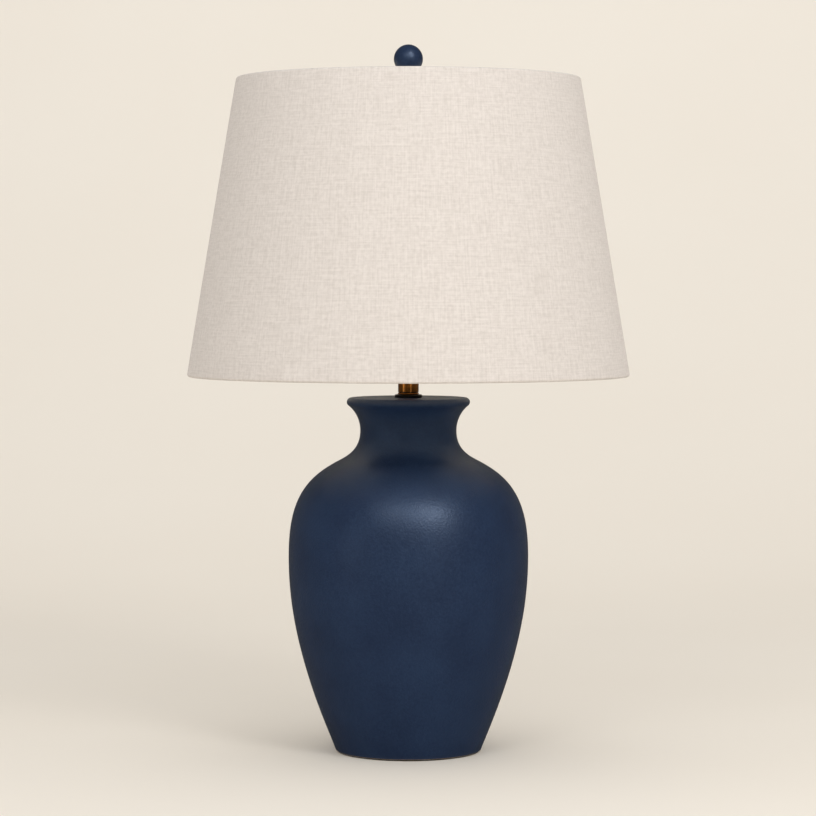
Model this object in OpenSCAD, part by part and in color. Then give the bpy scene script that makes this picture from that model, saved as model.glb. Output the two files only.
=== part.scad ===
// Table lamp. A glazed stoneware vase stands on a felt ring. A bronze neck tube
// rises from it to a turn-key lamp socket with a harp, and the harp carries a
// round tapered linen shade that a ball finial holds down.
// Millimetres. Z is up and the origin is on the table, under the middle of the foot.
// The harp's loop lies in the XZ plane, the switch key points to the front (-Y)
// and the cord outlet is at the back (+Y).

/* [Vase] */
// Diameter of the foot
foot_d = 151.8; // [146:0.2:158]
// Lean of the wall at the foot, in degrees from upright
foot_lean = 21; // [17:1:25]
// Radius of the rounded edge under the foot
foot_round = 1.3; // [0.5:0.1:2.5]
// Diameter of the belly, the widest place
belly_d = 248.8; // [236:0.2:260]
// Height of the belly above the foot
belly_rise = 201; // [190:1:212]
// Diameter at the shoulder, where the wall turns from round to hollow
shoulder_d = 153.4; // [144:0.2:162]
// Lean of the wall at the shoulder, in degrees from upright
shoulder_lean = 61; // [56:1:66]
// Height of the shoulder above the belly
shoulder_rise = 97.2; // [90:0.2:104]
// Diameter of the neck, the narrowest place
neck_d = 99.7; // [92:0.1:108]
// Height of the neck above the shoulder
neck_rise = 33.5; // [31:0.5:37]
// Diameter of the lip
lip_d = 127.7; // [120:0.1:134]
// Height of the flat top above the neck
lip_rise = 34.2; // [31:0.2:38]
// Radius of the rounded lip
lip_round = 4.6; // [3.5:0.1:5.5]
// Lean of the wall under the lip, in degrees from upright
lip_lean = 54; // [48:1:58]
// Thickness of the cast wall
wall = 6; // [4.5:0.5:8]
// Thickness of the top under the neck tube
deck_t = 7; // [5:0.5:9]
// Thickness of the floor
floor_t = 7; // [5:0.5:9]
// Width of the foot's rim, from its edge to the hollow inside it
foot_w = 8.9; // [7:0.1:12]
// Height of the hollow under the foot
recess_h = 19; // [17:0.5:24]
// Draft of the hollow's side, in degrees from upright
recess_draft = 6; // [2:1:10]
// Room round the pipe in the vase's two holes
pipe_room = 1.1; // [0.6:0.1:2]

/* [Vase curve] */
// Pull of the outline at the foot, as a share of the rise to the belly
foot_pull = 0.165; // [0.12:0.005:0.24]
// Pull of the outline below the belly, as a share of the rise to the belly
belly_pull_low = 0.455; // [0.38:0.005:0.52]
// Pull of the outline above the belly, as a share of the rise to the shoulder
belly_pull_high = 0.587; // [0.5:0.001:0.65]
// Pull of the outline below the shoulder, as a share of the rise to the shoulder
shoulder_pull_low = 0.37; // [0.3:0.01:0.45]
// Pull of the outline above the shoulder, as a share of the rise to the neck
shoulder_pull_high = 0.348; // [0.25:0.002:0.45]
// Pull of the outline below the neck, as a share of the rise to the neck
neck_pull_low = 0.654; // [0.5:0.002:0.72]
// Pull of the outline above the neck, as a share of the rise to the lip
neck_pull_high = 0.619; // [0.5:0.001:0.7]
// Pull of the outline under the lip, as a share of the rise to the lip
lip_pull = 0.078; // [0.04:0.002:0.2]

/* [Foot and cord outlet] */
// Thickness of the felt ring
felt_t = 1.5; // [1:0.5:3]
// How far the felt stays inside the foot's two edges
felt_inset = 1; // [0.5:0.5:2]
// Height of the cord outlet above the foot
outlet_rise = 10; // [8.5:0.5:11]
// Diameter of the cord's hole through the grommet
cord_hole_d = 6; // [5:0.5:7]
// Thickness of the grommet round the cord
grommet_wall = 1.6; // [1:0.2:2]
// Width of the grommet's two flanges
grommet_rim = 2.4; // [1.6:0.2:2.8]
// Thickness of the grommet's two flanges
grommet_flange_t = 1.4; // [1:0.2:2]

/* [Lamp pipe and fixings] */
// Diameter of the threaded lamp pipe
pipe_d = 9.8; // [9.4:0.1:10.2]
// Bore of the lamp pipe
pipe_bore = 6.4; // [5.5:0.1:6.8]
// How far the pipe stands out below its nut
pipe_proud = 2.4; // [1:0.2:3]
// Gap between the pipe and the pieces threaded over it
pipe_gap = 0.2; // [0.1:0.05:0.4]
// Diameter of the big washer under the floor
base_washer_d = 38; // [30:1:50]
// Thickness of the big washer
base_washer_t = 1.6; // [1:0.2:2.4]
// Diameter of the split lock washer
lock_washer_d = 16; // [15:0.5:20]
// Thickness of the split lock washer
lock_washer_t = 1.4; // [1:0.2:2]
// Width of the cut in the lock washer
lock_washer_cut = 1.2; // [0.8:0.2:2]
// Size of the hex nut across its flats
nut_across = 14.3; // [14:0.1:17]
// Thickness of the hex nut
nut_t = 4; // [3:0.5:5]

/* [Neck tube] */
// Diameter of the check ring on the vase's top
check_ring_d = 28.5; // [26:0.5:34]
// Thickness of the check ring
check_ring_t = 3.3; // [2.5:0.1:4]
// Radius of the check ring's upper edge
check_ring_round = 1.2; // [0.6:0.1:1.6]
// Height of the check ring's boss inside the tube
check_boss_h = 2.5; // [1.5:0.5:4]
// Diameter of the neck tube
tube_d = 21.4; // [20:0.2:23]
// Thickness of the neck tube's wall
tube_wall = 1.2; // [0.8:0.1:1.6]
// Length of the neck tube
tube_h = 36.2; // [32:0.2:44]
// Height of the bead at the tube's foot
tube_bead_h = 1.8; // [1.2:0.1:2.4]
// How far the bead stands out
tube_bead = 0.25; // [0.1:0.05:0.5]
// Height of the groove above the bead
tube_groove_h = 0.8; // [0.5:0.1:1.2]
// Depth of the groove
tube_groove = 0.5; // [0.2:0.1:0.6]

/* [Harp saddle and ferrules] */
// Half the distance between the two harp legs
leg_half = 32; // [29:0.5:36]
// Thickness of the saddle's strap
strap_t = 1.6; // [1.2:0.1:2]
// Width of the saddle's strap
strap_w = 12.7; // [11:0.1:14]
// Diameter of the saddle's round seat on the tube
seat_d = 23; // [22:0.5:26]
// Outside radius of the strap's bends
strap_bend = 9; // [6:0.5:11]
// Height of the strap's shoulders above its underside
shoulder_h = 23; // [18:0.5:25]
// Width of the tabs above the shoulders
tab_w = 4.4; // [3.8:0.1:4.8]
// Height of the tabs above the shoulders
tab_h = 11; // [9:0.5:12]
// Gap between a tab and the flattened harp end beside it
tab_gap = 0.2; // [0.1:0.05:0.4]
// Outside diameter of the ferrules
ferrule_d = 8.8; // [8.4:0.1:10]
// Bore of the ferrules
ferrule_bore = 6.8; // [6.6:0.1:7.4]
// Length of the ferrules
ferrule_h = 16; // [13.5:0.5:18]
// Edge round at both ends of the ferrules
ferrule_round = 0.4; // [0.2:0.1:0.5]

/* [Harp] */
// Diameter of the harp's wire
harp_wire = 4; // [3.6:0.1:4.4]
// Harp size, from the saddle's underside to the seat of the shade
harp_size = 279.4; // [266.7:12.7:292.1]
// Thickness of the flattened ends
harp_end_t = 1.7; // [1.4:0.1:2]
// How far the flattened ends reach below the tabs' tops
harp_end_h = 9; // [6:0.5:9]
// Straight length of the legs above the tabs
leg_h = 20; // [18:1:26]
// Half the harp's greatest width, at the wire's middle
harp_half = 54; // [50:1:60]
// Radius of the lower bend, outward
bend_out = 18; // [14:1:24]
// Radius of the bend back to upright
bend_back = 40; // [34:1:50]
// Radius of the two upper corners
bend_top = 32; // [26:1:35]
// Half the straight length of the crown
crown_half = 9.5; // [9:0.5:12]
// Gap between the flange on the crown and the wire's ends beside it
crown_gap = 0.4; // [0.3:0.1:0.6]
// Diameter of the crown's flattened eye
eye_d = 16; // [15.5:0.5:18]
// Thickness of the crown's flattened eye
eye_t = 3; // [2.4:0.2:3.6]

/* [Swivel stud] */
// Diameter of the swivel pin in the crown's eye
pin_d = 4.2; // [3.8:0.1:4.6]
// Running gap round the swivel pin
pin_gap = 0.06; // [0.03:0.01:0.09]
// Diameter of the rivet head under the crown
rivet_d = 7.4; // [6.6:0.2:9]
// Thickness of the rivet head
rivet_t = 1.4; // [1:0.2:2]
// Play under the crown's eye
rivet_play = 0.1; // [0.05:0.05:0.2]
// Diameter of the flange that carries the shade
flange_d = 14; // [13:0.5:14]
// Thickness of the flange
flange_t = 2; // [1.6:0.2:2.6]
// Diameter of the finial's stud
stud_d = 6.35; // [6:0.05:6.6]
// Height of the stud above the flange
stud_h = 12; // [10:0.5:13]

/* [Socket] */
// Diameter of the socket's shell
shell_d = 33.2; // [32.6:0.2:35]
// Thickness of the shell
shell_t = 0.6; // [0.4:0.1:0.8]
// Height of the whole socket above the saddle
socket_h = 62; // [60:1:64]
// How far the rolled edge of the shell stands out
shell_bead = 0.8; // [0.5:0.1:1.2]
// Height of the rolled edge of the shell
shell_bead_h = 1.8; // [1.4:0.2:2.4]
// Height of the cap, from its hub's foot to its mouth
cap_h = 22; // [20:0.5:23]
// Thickness of the cap
cap_t = 0.9; // [0.7:0.1:1.2]
// Diameter of the cap's threaded hub
hub_d = 13.6; // [13:0.2:15]
// Height of the cap's threaded hub
hub_h = 8; // [7:0.5:9]
// How far the shell reaches down inside the cap
shell_lap = 4; // [3:0.5:5]
// Gap between the shell and the cap
shell_gap = 0.1; // [0.05:0.05:0.2]
// Diameter of the set screw in the hub
set_screw_d = 3; // [2.5:0.1:3.4]
// Length of the set screw outside the hub
set_screw_proud = 1.4; // [0.8:0.2:2]
// Thickness of the insulating liner
liner_t = 0.8; // [0.6:0.1:1]
// How far the liner stops below the shell's edge
liner_drop = 1.5; // [0.5:0.5:3]
// Gap on each side of the liner
liner_gap = 0.15; // [0.1:0.05:0.3]
// Height of the socket's moulded core above the saddle
core_foot = 13; // [12:0.5:14]
// Height of the core's top above the saddle
core_top = 35; // [34:0.5:36]
// Room between the core and the liner
core_room = 0.5; // [0.3:0.1:0.8]
// Height of the terminal screws above the saddle
terminal_z = 21; // [20:0.5:22]
// Diameter of the terminal screws' heads
terminal_d = 6; // [5:0.2:6.6]
// Thickness of the terminal screws' heads
terminal_t = 1.8; // [1.4:0.1:2]
// How far the heads are sunk in the core's side
terminal_sink = 1; // [0.6:0.1:1.4]
// Room round the heads in their pockets
terminal_room = 0.8; // [0.5:0.1:1.2]
// Diameter of the terminal screws' shanks
terminal_shank = 3; // [2.5:0.1:3.5]
// Length of the terminal screws' shanks
terminal_len = 5; // [4:0.5:6]
// Inside diameter of the screw shell
screw_bore = 26.9; // [26.7:0.1:27.1]
// Thickness of the screw shell
screw_t = 0.4; // [0.3:0.1:0.6]
// How far the screw shell stops below the socket's edge
screw_drop = 2.5; // [2:0.5:4]
// Diameter of the hole in the screw shell's floor
screw_floor_hole = 11; // [10:0.5:13]
// Width of the centre contact's strip
contact_w = 5; // [4:0.5:6]
// Thickness of the centre contact's strip
contact_t = 0.5; // [0.4:0.1:0.7]
// Height that the centre contact springs up
contact_rise = 3.4; // [3:0.2:4]

/* [Switch] */
// Height of the switch shaft above the saddle
switch_z = 28; // [27.5:0.5:30]
// Diameter of the switch shaft
shaft_d = 3.2; // [2.8:0.1:3.6]
// Running gap round the switch shaft
shaft_gap = 0.05; // [0.03:0.01:0.09]
// Depth of the shaft's bearing in the core
shaft_depth = 8; // [6:0.5:9]
// Room round the shaft in the shell's slot
slot_room = 0.8; // [0.5:0.1:1.2]
// Length of the shaft outside the shell
shaft_out = 18; // [16:1:20]
// Diameter of the key's grip at its outer end
key_d = 12; // [10:0.5:14]
// Diameter of the key at its inner end
key_neck_d = 8; // [7:0.5:9]
// Length of the key
key_h = 11; // [9:0.5:12]
// Depth of the key's hole for the shaft
key_bore = 8; // [6:0.5:8]
// Number of flutes round the key
key_flutes = 12; // [8:2:16]
// Depth of the flutes
flute_depth = 0.7; // [0.4:0.1:0.9]

/* [Bulb] */
// Diameter of the bulb's globe
globe_d = 60; // [56:1:64]
// Whole length of the bulb
bulb_h = 110; // [106:1:114]
// Diameter of the bulb's screw cap
bulb_cap_d = 26.2; // [26:0.1:26.4]
// Height of the bulb's screw cap
bulb_cap_h = 21; // [20:0.5:22]
// Height of the black insulator under the screw cap
insulator_h = 3; // [2.5:0.1:3.5]
// Diameter of the bulb's centre contact
bulb_contact_d = 9; // [8:0.5:10]
// Height of the bulb's centre contact
bulb_contact_h = 1.2; // [1:0.1:1.6]
// Diameter of the bulb's body at the screw cap
bulb_neck_d = 27.6; // [27:0.2:29]
// Height of the bulb's body, from the screw cap to the globe's edge
bulb_body_h = 36; // [32:1:40]
// Diameter of the joint between the body and the globe
bulb_joint_d = 54; // [52:1:55]
// Thickness of the globe
globe_t = 1.4; // [1:0.1:2]

/* [Shade] */
// Diameter across the shade's top
shade_top_d = 355.6; // [340:0.2:370]
// Diameter across the shade's bottom
shade_bottom_d = 457.2; // [440:0.2:472]
// Height of the shade
shade_h = 307.5; // [292:0.5:318]
// Diameter of the frame's rings
frame_wire = 3.2; // [3:0.1:3.6]
// Diameter of the frame's arms
arm_wire = 2.8; // [2.4:0.1:2.9]
// How far the ring stands above the hub
spider_drop = 7.6; // [6:0.2:10]
// Number of arms
arm_count = 3; // [3:1:4]
// Diameter of the spider's hub
spider_hub_d = 26; // [24:1:28]
// Thickness of the spider's hub
spider_hub_t = 1.6; // [1.2:0.1:2]
// Gap round the stud in the hub's hole
stud_gap = 0.35; // [0.2:0.05:0.5]
// Thickness of the linen
linen_t = 0.7; // [0.5:0.1:0.9]
// Gap between the linen and the rings that it wraps
wrap_gap = 0.05; // [0.05:0.05:0.1]
// How far the linen is rolled round each ring, in degrees
wrap_turn = 240; // [210:10:250]
// Thickness of the shade's stiff liner
backing_t = 0.5; // [0.4:0.1:0.6]
// Thickness of the glue film between the liner and the linen
glue_t = 0.2; // [0.15:0.05:0.3]
// How far the liner stops short of each ring's middle
backing_stop = 2.6; // [2.5:0.1:4]
// Room round each arm in the linen
arm_notch = 0.5; // [0.3:0.1:1]

/* [Finial] */
// Diameter of the finial's ball
ball_d = 30; // [27:0.5:34]
// Height of the ball's middle above the hub
ball_rise = 28.8; // [27:0.2:32]
// Diameter of the flat under the ball
ball_flat_d = 12; // [10:0.5:13]
// Diameter of the finial's foot
finial_foot_d = 15; // [13:0.5:18]
// Height of the finial's foot
finial_foot_h = 2.4; // [1.8:0.2:3]
// Diameter of the finial's waist
finial_waist_d = 10; // [9.6:0.2:11]
// Height of the flare under the ball
finial_flare_h = 3.5; // [2.5:0.5:4.5]
// Gap between the stud and the finial's bore
finial_gap = 0.15; // [0.1:0.05:0.3]
// How much deeper the finial's bore is than the stud
finial_spare = 1.2; // [0.8:0.2:1.6]
// Diameter of the stem inside the ball
stem_d = 5; // [4:0.5:6]
// Length of the stem inside the ball
stem_h = 9; // [7:0.5:11]
// Gap round the stem in the ball
stem_gap = 0.1; // [0.05:0.05:0.2]

/* [Hidden] */

$fn = 96;
// Steps along each stretch of a curve and along each small round edge
curve_steps = 14;
round_steps = 5;
// Sides of the harp's round wire
bar_sides = 12;
// How far a cutting shape runs past what it cuts
past = 1;

navy = "#24304a";
bronze = "#5a4632";
dark_bronze = "#201d1c";
steel = "#a7a9ab";
brass = "#b08d4c";
linen = "#eae2d7";

// Vase levels, measured above the foot
neck_top_rise = belly_rise + shoulder_rise + neck_rise;
vase_h = neck_top_rise + lip_rise;
lip_start = vase_h - lip_round * (1 + sin(lip_lean));
recess_d = foot_d - 2 * foot_w;
recess_top_d = recess_d - 2 * recess_h * tan(recess_draft);
pipe_hole_d = pipe_d + 2 * pipe_room;

// Levels above the table
foot_z = felt_t;
ceiling_z = foot_z + recess_h;
lock_z = ceiling_z - base_washer_t;
nut_z = lock_z - lock_washer_t - nut_t;
pipe_z = nut_z - pipe_proud;
deck_z = foot_z + vase_h;
tube_z = deck_z + check_ring_t;
saddle_z = tube_z + tube_h;
socket_z = saddle_z + strap_t;
pipe_top_z = socket_z + hub_h;
core_foot_z = socket_z + core_foot;
core_top_z = socket_z + core_top;
socket_top_z = socket_z + socket_h;
cap_top_z = socket_z + cap_h;
shell_foot_z = cap_top_z - shell_lap;
switch_axis_z = socket_z + switch_z;
bulb_z = core_top_z + screw_t + contact_rise;
tab_z = saddle_z + shoulder_h;
tab_top_z = tab_z + tab_h;
shade_seat_z = saddle_z + harp_size;
crown_z = shade_seat_z - flange_t - eye_t / 2;
spider_z = shade_seat_z + spider_hub_t / 2;
hub_top_z = shade_seat_z + spider_hub_t;
ball_z = hub_top_z + ball_rise;

// Harp, one side: the legs' height, then two bends, the long side and the upper corner
leg_top_z = tab_top_z + leg_h;
bend_turn = acos(1 - (harp_half - leg_half) / (bend_out + bend_back));
side_z = leg_top_z + (bend_out + bend_back) * sin(bend_turn);
side_in = harp_half - crown_half;
side_up = crown_z - bend_top - side_z;
side_r = (side_in * side_in + side_up * side_up - bend_top * bend_top) / (2 * (side_in - bend_top));
side_turn = asin(side_up / (side_r - bend_top));

// Socket radii
shell_r = shell_d / 2;
liner_r = shell_r - shell_t - liner_gap;
core_r = liner_r - liner_t - core_room;
cap_r = shell_r + shell_gap + cap_t;

// Shade: middles of the two rings, and the linen's middle line
ring_r = frame_wire / 2;
wrap_r = ring_r + wrap_gap + linen_t / 2;
edge_r = wrap_r + linen_t / 2;
top_ring = [shade_top_d / 2 - edge_r, spider_z + spider_drop];
shade_top_z = top_ring.y + edge_r;
bottom_ring = [shade_bottom_d / 2 - edge_r, shade_top_z - shade_h + edge_r];
shade_run = (top_ring - bottom_ring) / norm(top_ring - bottom_ring);
shade_out = [shade_run.y, -shade_run.x];
shade_turn = atan2(shade_out.y, shade_out.x);

// Points on a cubic curve that leaves a along direction u and reaches b along direction v
function curve(a, u, b, v, pull_a, pull_b) =
    let (rise = b.y - a.y, c = a + pull_a * rise * u, d = b - pull_b * rise * v)
    [for (i = [0:curve_steps]) let (t = i / curve_steps, s = 1 - t)
        s * s * s * a + 3 * s * s * t * c + 3 * s * t * t * d + t * t * t * b];

// Points on an arc round c, from angle a to angle b
function arc(c, r, a, b, steps) =
    [for (i = [0:steps]) let (w = a + (b - a) * i / steps) c + r * [cos(w), sin(w)]];

// Direction of a wall that leans outward from upright
function lean(a) = [sin(a), cos(a)];

// The points of a line without the first one
function rest(line) = [for (i = [1:len(line) - 1]) line[i]];

// The points of a line in the other order
function turned(line) = [for (i = [len(line) - 1:-1:0]) line[i]];

// A line moved sideways, to the left of its run
function beside(line, gap) =
    [for (i = [0:len(line) - 1])
        let (run = line[min(i + 1, len(line) - 1)] - line[max(i - 1, 0)], along = run / norm(run))
        line[i] + gap * [-along.y, along.x]];

// A closed band along a line, with half its thickness on each side
function band(line, thick) = concat(beside(line, thick / 2), turned(beside(line, -thick / 2)));

// Vase outline, from the foot's edge up to the start of the lip
foot_point = [foot_d / 2, foot_round * (1 - sin(foot_lean))];
belly_point = [belly_d / 2, belly_rise];
shoulder_point = [shoulder_d / 2, belly_rise + shoulder_rise];
neck_point = [neck_d / 2, neck_top_rise];
lip_middle = [lip_d / 2 - lip_round, vase_h - lip_round];
lip_point = lip_middle + lip_round * [cos(lip_lean), -sin(lip_lean)];
vase_side = concat(
    curve(foot_point, lean(foot_lean), belly_point, lean(0), foot_pull, belly_pull_low),
    rest(curve(belly_point, lean(0), shoulder_point, lean(-shoulder_lean),
        belly_pull_high, shoulder_pull_low)),
    rest(curve(shoulder_point, lean(-shoulder_lean), neck_point, lean(0),
        shoulder_pull_high, neck_pull_low)),
    rest(curve(neck_point, lean(0), lip_point, lean(lip_lean), neck_pull_high, lip_pull)));
foot_edge = arc([foot_point.x - foot_round * cos(foot_lean), foot_round], foot_round,
    -90, -foot_lean, round_steps);
vase_outline = concat(foot_edge, rest(vase_side), rest(arc(lip_middle, lip_round, -lip_lean, 90, 8)));

// Vase cavity: the side moved in by the wall, between the floor and the top
inner_side = beside(vase_side, wall);
inner_radius = [for (p = inner_side) [p.y, p.x]];
floor_top = recess_h + floor_t;
deck_under = vase_h - deck_t;
cavity_side = concat([[lookup(floor_top, inner_radius), floor_top]],
    [for (p = inner_side) if (p.y > floor_top + 1 && p.y < deck_under - 1) p],
    [[lookup(deck_under, inner_radius), deck_under]]);

// The linen's middle line: round the bottom ring, up the side and round the top ring
linen_line = concat(
    arc(bottom_ring, wrap_r, shade_turn - wrap_turn, shade_turn, 12),
    arc(top_ring, wrap_r, shade_turn, shade_turn + wrap_turn, 12));

module tube(outer_d, inner_d, h) {
    difference() {
        cylinder(d = outer_d, h = h);
        translate([0, 0, -past]) cylinder(d = inner_d, h = h + 2 * past);
    }
}

// Turns what follows so that its Z axis points to the back
module to_back() {
    rotate([-90, 0, 0]) children();
}

// Turns what follows so that its Z axis points to the front
module to_front() {
    rotate([90, 0, 0]) children();
}

module felt_ring() {
    color("#2b2b2a")
        tube(2 * (foot_point.x - foot_round * cos(foot_lean) - felt_inset), recess_d + 2 * felt_inset, felt_t);
}

// Everything inside the vase's outer face, grown by the given amount, with no hollows
module vase_outer(grow) {
    grown = beside(vase_outline, -grow);
    last = grown[len(grown) - 1];
    rotate_extrude() polygon(concat([[0, 0], [grown[0].x, 0]], grown, [[0, last.y]]));
}

module recess(shrink) {
    translate([0, 0, -past]) cylinder(d1 = recess_d + 2 * past * tan(recess_draft) - 2 * shrink,
        d2 = recess_top_d - 2 * shrink, h = recess_h + past);
}

module vase() {
    hole = pipe_hole_d / 2;
    color(navy) translate([0, 0, foot_z]) difference() {
        rotate_extrude() polygon(concat(vase_outline,
            [[hole, vase_h], [hole, deck_under]], turned(cavity_side),
            [[hole, floor_top], [hole, recess_h], [recess_top_d / 2, recess_h], [recess_d / 2, 0]]));
        translate([0, 0, outlet_rise]) to_back()
            cylinder(d = cord_hole_d + 2 * grommet_wall, h = foot_d);
    }
}

// The grommet's flanges follow the two faces of the foot's wall
module cord_grommet() {
    barrel_d = cord_hole_d + 2 * grommet_wall;
    color("#1d1d1e") translate([0, 0, foot_z]) difference() {
        intersection() {
            vase_outer(grommet_flange_t);
            translate([0, 0, outlet_rise]) to_back() cylinder(d = barrel_d + 2 * grommet_rim, h = foot_d);
        }
        recess(grommet_flange_t);
        difference() {
            vase_outer(0);
            recess(0);
            translate([0, 0, outlet_rise]) to_back() cylinder(d = barrel_d, h = foot_d);
        }
        translate([0, 0, outlet_rise]) to_back() cylinder(d = cord_hole_d, h = foot_d);
    }
}

module lamp_pipe() {
    color(steel) translate([0, 0, pipe_z]) tube(pipe_d, pipe_bore, pipe_top_z - pipe_z);
}

module base_washer() {
    color(steel) translate([0, 0, lock_z]) tube(base_washer_d, pipe_d + 2 * pipe_gap, base_washer_t);
}

module lock_washer() {
    color(steel) translate([0, 0, lock_z - lock_washer_t]) difference() {
        tube(lock_washer_d, pipe_d + 2 * pipe_gap, lock_washer_t);
        translate([0, -lock_washer_cut / 2, -past])
            cube([lock_washer_d, lock_washer_cut, lock_washer_t + 2 * past]);
    }
}

module base_nut() {
    color(steel) translate([0, 0, nut_z]) difference() {
        cylinder(d = nut_across / cos(30), h = nut_t, $fn = 6);
        translate([0, 0, -past]) cylinder(d = pipe_d + 2 * pipe_gap, h = nut_t + 2 * past);
    }
}

module check_ring() {
    hole = pipe_d / 2 + pipe_gap;
    boss = tube_d / 2 - tube_wall - pipe_gap;
    outer = check_ring_d / 2;
    color(dark_bronze) translate([0, 0, deck_z]) rotate_extrude() polygon(concat(
        [[hole, 0], [outer, 0]],
        arc([outer - check_ring_round, check_ring_t - check_ring_round], check_ring_round, 0, 90, round_steps),
        [[boss, check_ring_t], [boss, check_ring_t + check_boss_h], [hole, check_ring_t + check_boss_h]]));
}

module neck_tube() {
    r = tube_d / 2;
    inner = r - tube_wall;
    groove_z = tube_bead_h + tube_groove_h;
    color(bronze) translate([0, 0, tube_z]) rotate_extrude() polygon(concat(
        [[inner, 0]],
        arc([r + tube_bead - tube_bead_h / 2, tube_bead_h / 2], tube_bead_h / 2, -90, 90, 2 * round_steps),
        [[r - tube_groove, tube_bead_h], [r - tube_groove, groove_z], [r, groove_z],
            [r, tube_h], [inner, tube_h]]));
}

// Half the strap's shape seen from the front: flat seat, round bend and upright arm
module strap_half() {
    outer_x = leg_half + tab_gap / 2 + strap_t;
    bend = [outer_x - strap_bend, strap_bend];
    top = shoulder_h + tab_h;
    polygon(concat([[0, 0]],
        arc(bend, strap_bend, -90, 0, 8), [[outer_x, top], [outer_x - strap_t, top]],
        arc(bend, strap_bend - strap_t, 0, -90, 8), [[0, strap_t]]));
}

// The strap's width seen from the side: wide below, narrow at the tabs
module strap_side() {
    polygon([[-strap_w / 2, -past], [strap_w / 2, -past], [strap_w / 2, shoulder_h], [tab_w / 2, shoulder_h],
        [tab_w / 2, shoulder_h + tab_h + past], [-tab_w / 2, shoulder_h + tab_h + past],
        [-tab_w / 2, shoulder_h], [-strap_w / 2, shoulder_h]]);
}

module harp_saddle() {
    reach = 2 * leg_half + 4 * strap_t;
    color(bronze) translate([0, 0, saddle_z]) difference() {
        union() {
            intersection() {
                to_front() translate([0, 0, -strap_w]) linear_extrude(2 * strap_w) {
                    strap_half();
                    mirror([1, 0]) strap_half();
                }
                rotate([90, 0, 90]) translate([0, 0, -reach / 2]) linear_extrude(reach) strap_side();
            }
            cylinder(d = seat_d, h = strap_t);
        }
        translate([0, 0, -past]) cylinder(d = pipe_d + 2 * pipe_gap, h = strap_t + 2 * past);
    }
}

module ferrule(side) {
    outer = ferrule_d / 2;
    color(bronze) translate([side * leg_half, 0, tab_z]) rotate_extrude() polygon(concat(
        [[ferrule_bore / 2, 0]],
        arc([outer - ferrule_round, ferrule_round], ferrule_round, -90, 0, 3),
        arc([outer - ferrule_round, ferrule_h - ferrule_round], ferrule_round, 0, 90, 3),
        [[ferrule_bore / 2, ferrule_h]]));
}

// A round bar along a line in the XZ plane
module bar(line, d) {
    last = len(line) - 1;
    sides = beside(line, 1);
    points = [for (i = [0:last]) let (out = sides[i] - line[i])
        for (k = [0:bar_sides - 1]) let (w = k * 360 / bar_sides)
            [line[i].x + d / 2 * cos(w) * out.x, d / 2 * sin(w), line[i].y + d / 2 * cos(w) * out.y]];
    walls = [for (i = [0:last - 1]) for (k = [0:bar_sides - 1])
        let (a = i * bar_sides + k, b = i * bar_sides + (k + 1) % bar_sides)
        each [[a, b, b + bar_sides], [a, b + bar_sides, a + bar_sides]]];
    polyhedron(points, concat(walls, [[for (k = [bar_sides - 1:-1:0]) k],
        [for (k = [0:bar_sides - 1]) last * bar_sides + k]]));
}

// One side of the harp's wire: leg, two bends, long side, upper corner and half the crown
harp_line = concat(
    [[leg_half, tab_top_z]],
    arc([leg_half + bend_out, leg_top_z], bend_out, 180, 180 - bend_turn, 5),
    rest(arc([harp_half - bend_back, side_z], bend_back, -bend_turn, 0, 6)),
    rest(arc([harp_half - side_r, side_z], side_r, 0, side_turn, 5)),
    rest(arc([crown_half, crown_z - bend_top], bend_top, side_turn, 90, 9)),
    [[flange_d / 2 + crown_gap, crown_z]]);

module harp_side() {
    end_x = leg_half - tab_gap / 2 - harp_end_t;
    bar(harp_line, harp_wire);
    translate([end_x, -tab_w / 2, tab_top_z - harp_end_h]) cube([harp_end_t, tab_w, harp_end_h + strap_t]);
}

module harp() {
    color(bronze) difference() {
        union() {
            harp_side();
            mirror([1, 0, 0]) harp_side();
            translate([0, 0, crown_z - eye_t / 2]) cylinder(d = eye_d, h = eye_t);
        }
        translate([0, 0, crown_z - eye_t]) cylinder(d = pin_d + 2 * pin_gap, h = 2 * eye_t);
    }
}

module swivel_stud() {
    eye_under = -flange_t - eye_t - rivet_play;
    color(brass) translate([0, 0, shade_seat_z]) rotate_extrude() polygon([
        [0, eye_under - rivet_t], [rivet_d / 2 - rivet_t / 2, eye_under - rivet_t],
        [rivet_d / 2, eye_under - rivet_t / 2], [rivet_d / 2, eye_under], [pin_d / 2, eye_under],
        [pin_d / 2, -flange_t], [flange_d / 2, -flange_t], [flange_d / 2, 0],
        [stud_d / 2, 0], [stud_d / 2, stud_h], [0, stud_h]]);
}

// Bell-shaped cap: threaded hub, rounded bowl and straight mouth
module socket_cap() {
    hub_r = hub_d / 2;
    bowl = cap_r - hub_r;
    outer = concat([[hub_r, 0], [hub_r, hub_h - cap_t]],
        arc([hub_r, hub_h - cap_t + bowl], bowl, -90, 0, 8), [[cap_r, cap_h]]);
    inner = concat([[cap_r - cap_t, cap_h]],
        arc([hub_r, hub_h - cap_t + bowl], bowl - cap_t, 0, -90, 8));
    bore = pipe_d / 2 + pipe_gap;
    color(bronze) translate([0, 0, socket_z]) difference() {
        rotate_extrude() polygon(concat([[bore, 0]], outer, inner, [[bore, hub_h]]));
        translate([0, 0, hub_h / 2]) to_back() cylinder(d = set_screw_d + 2 * pipe_gap, h = hub_d);
    }
}

module set_screw() {
    out = hub_d / 2 + set_screw_proud;
    color(steel) translate([0, pipe_d / 2, socket_z + hub_h / 2]) to_back()
        cylinder(d = set_screw_d, h = out - pipe_d / 2, $fn = 32);
}

// Runs what follows along a terminal screw's axis, from the core's side inward
module at_terminal(side) {
    translate([side * core_r, 0, socket_z + terminal_z]) rotate([0, -side * 90, 0]) children();
}

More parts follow.
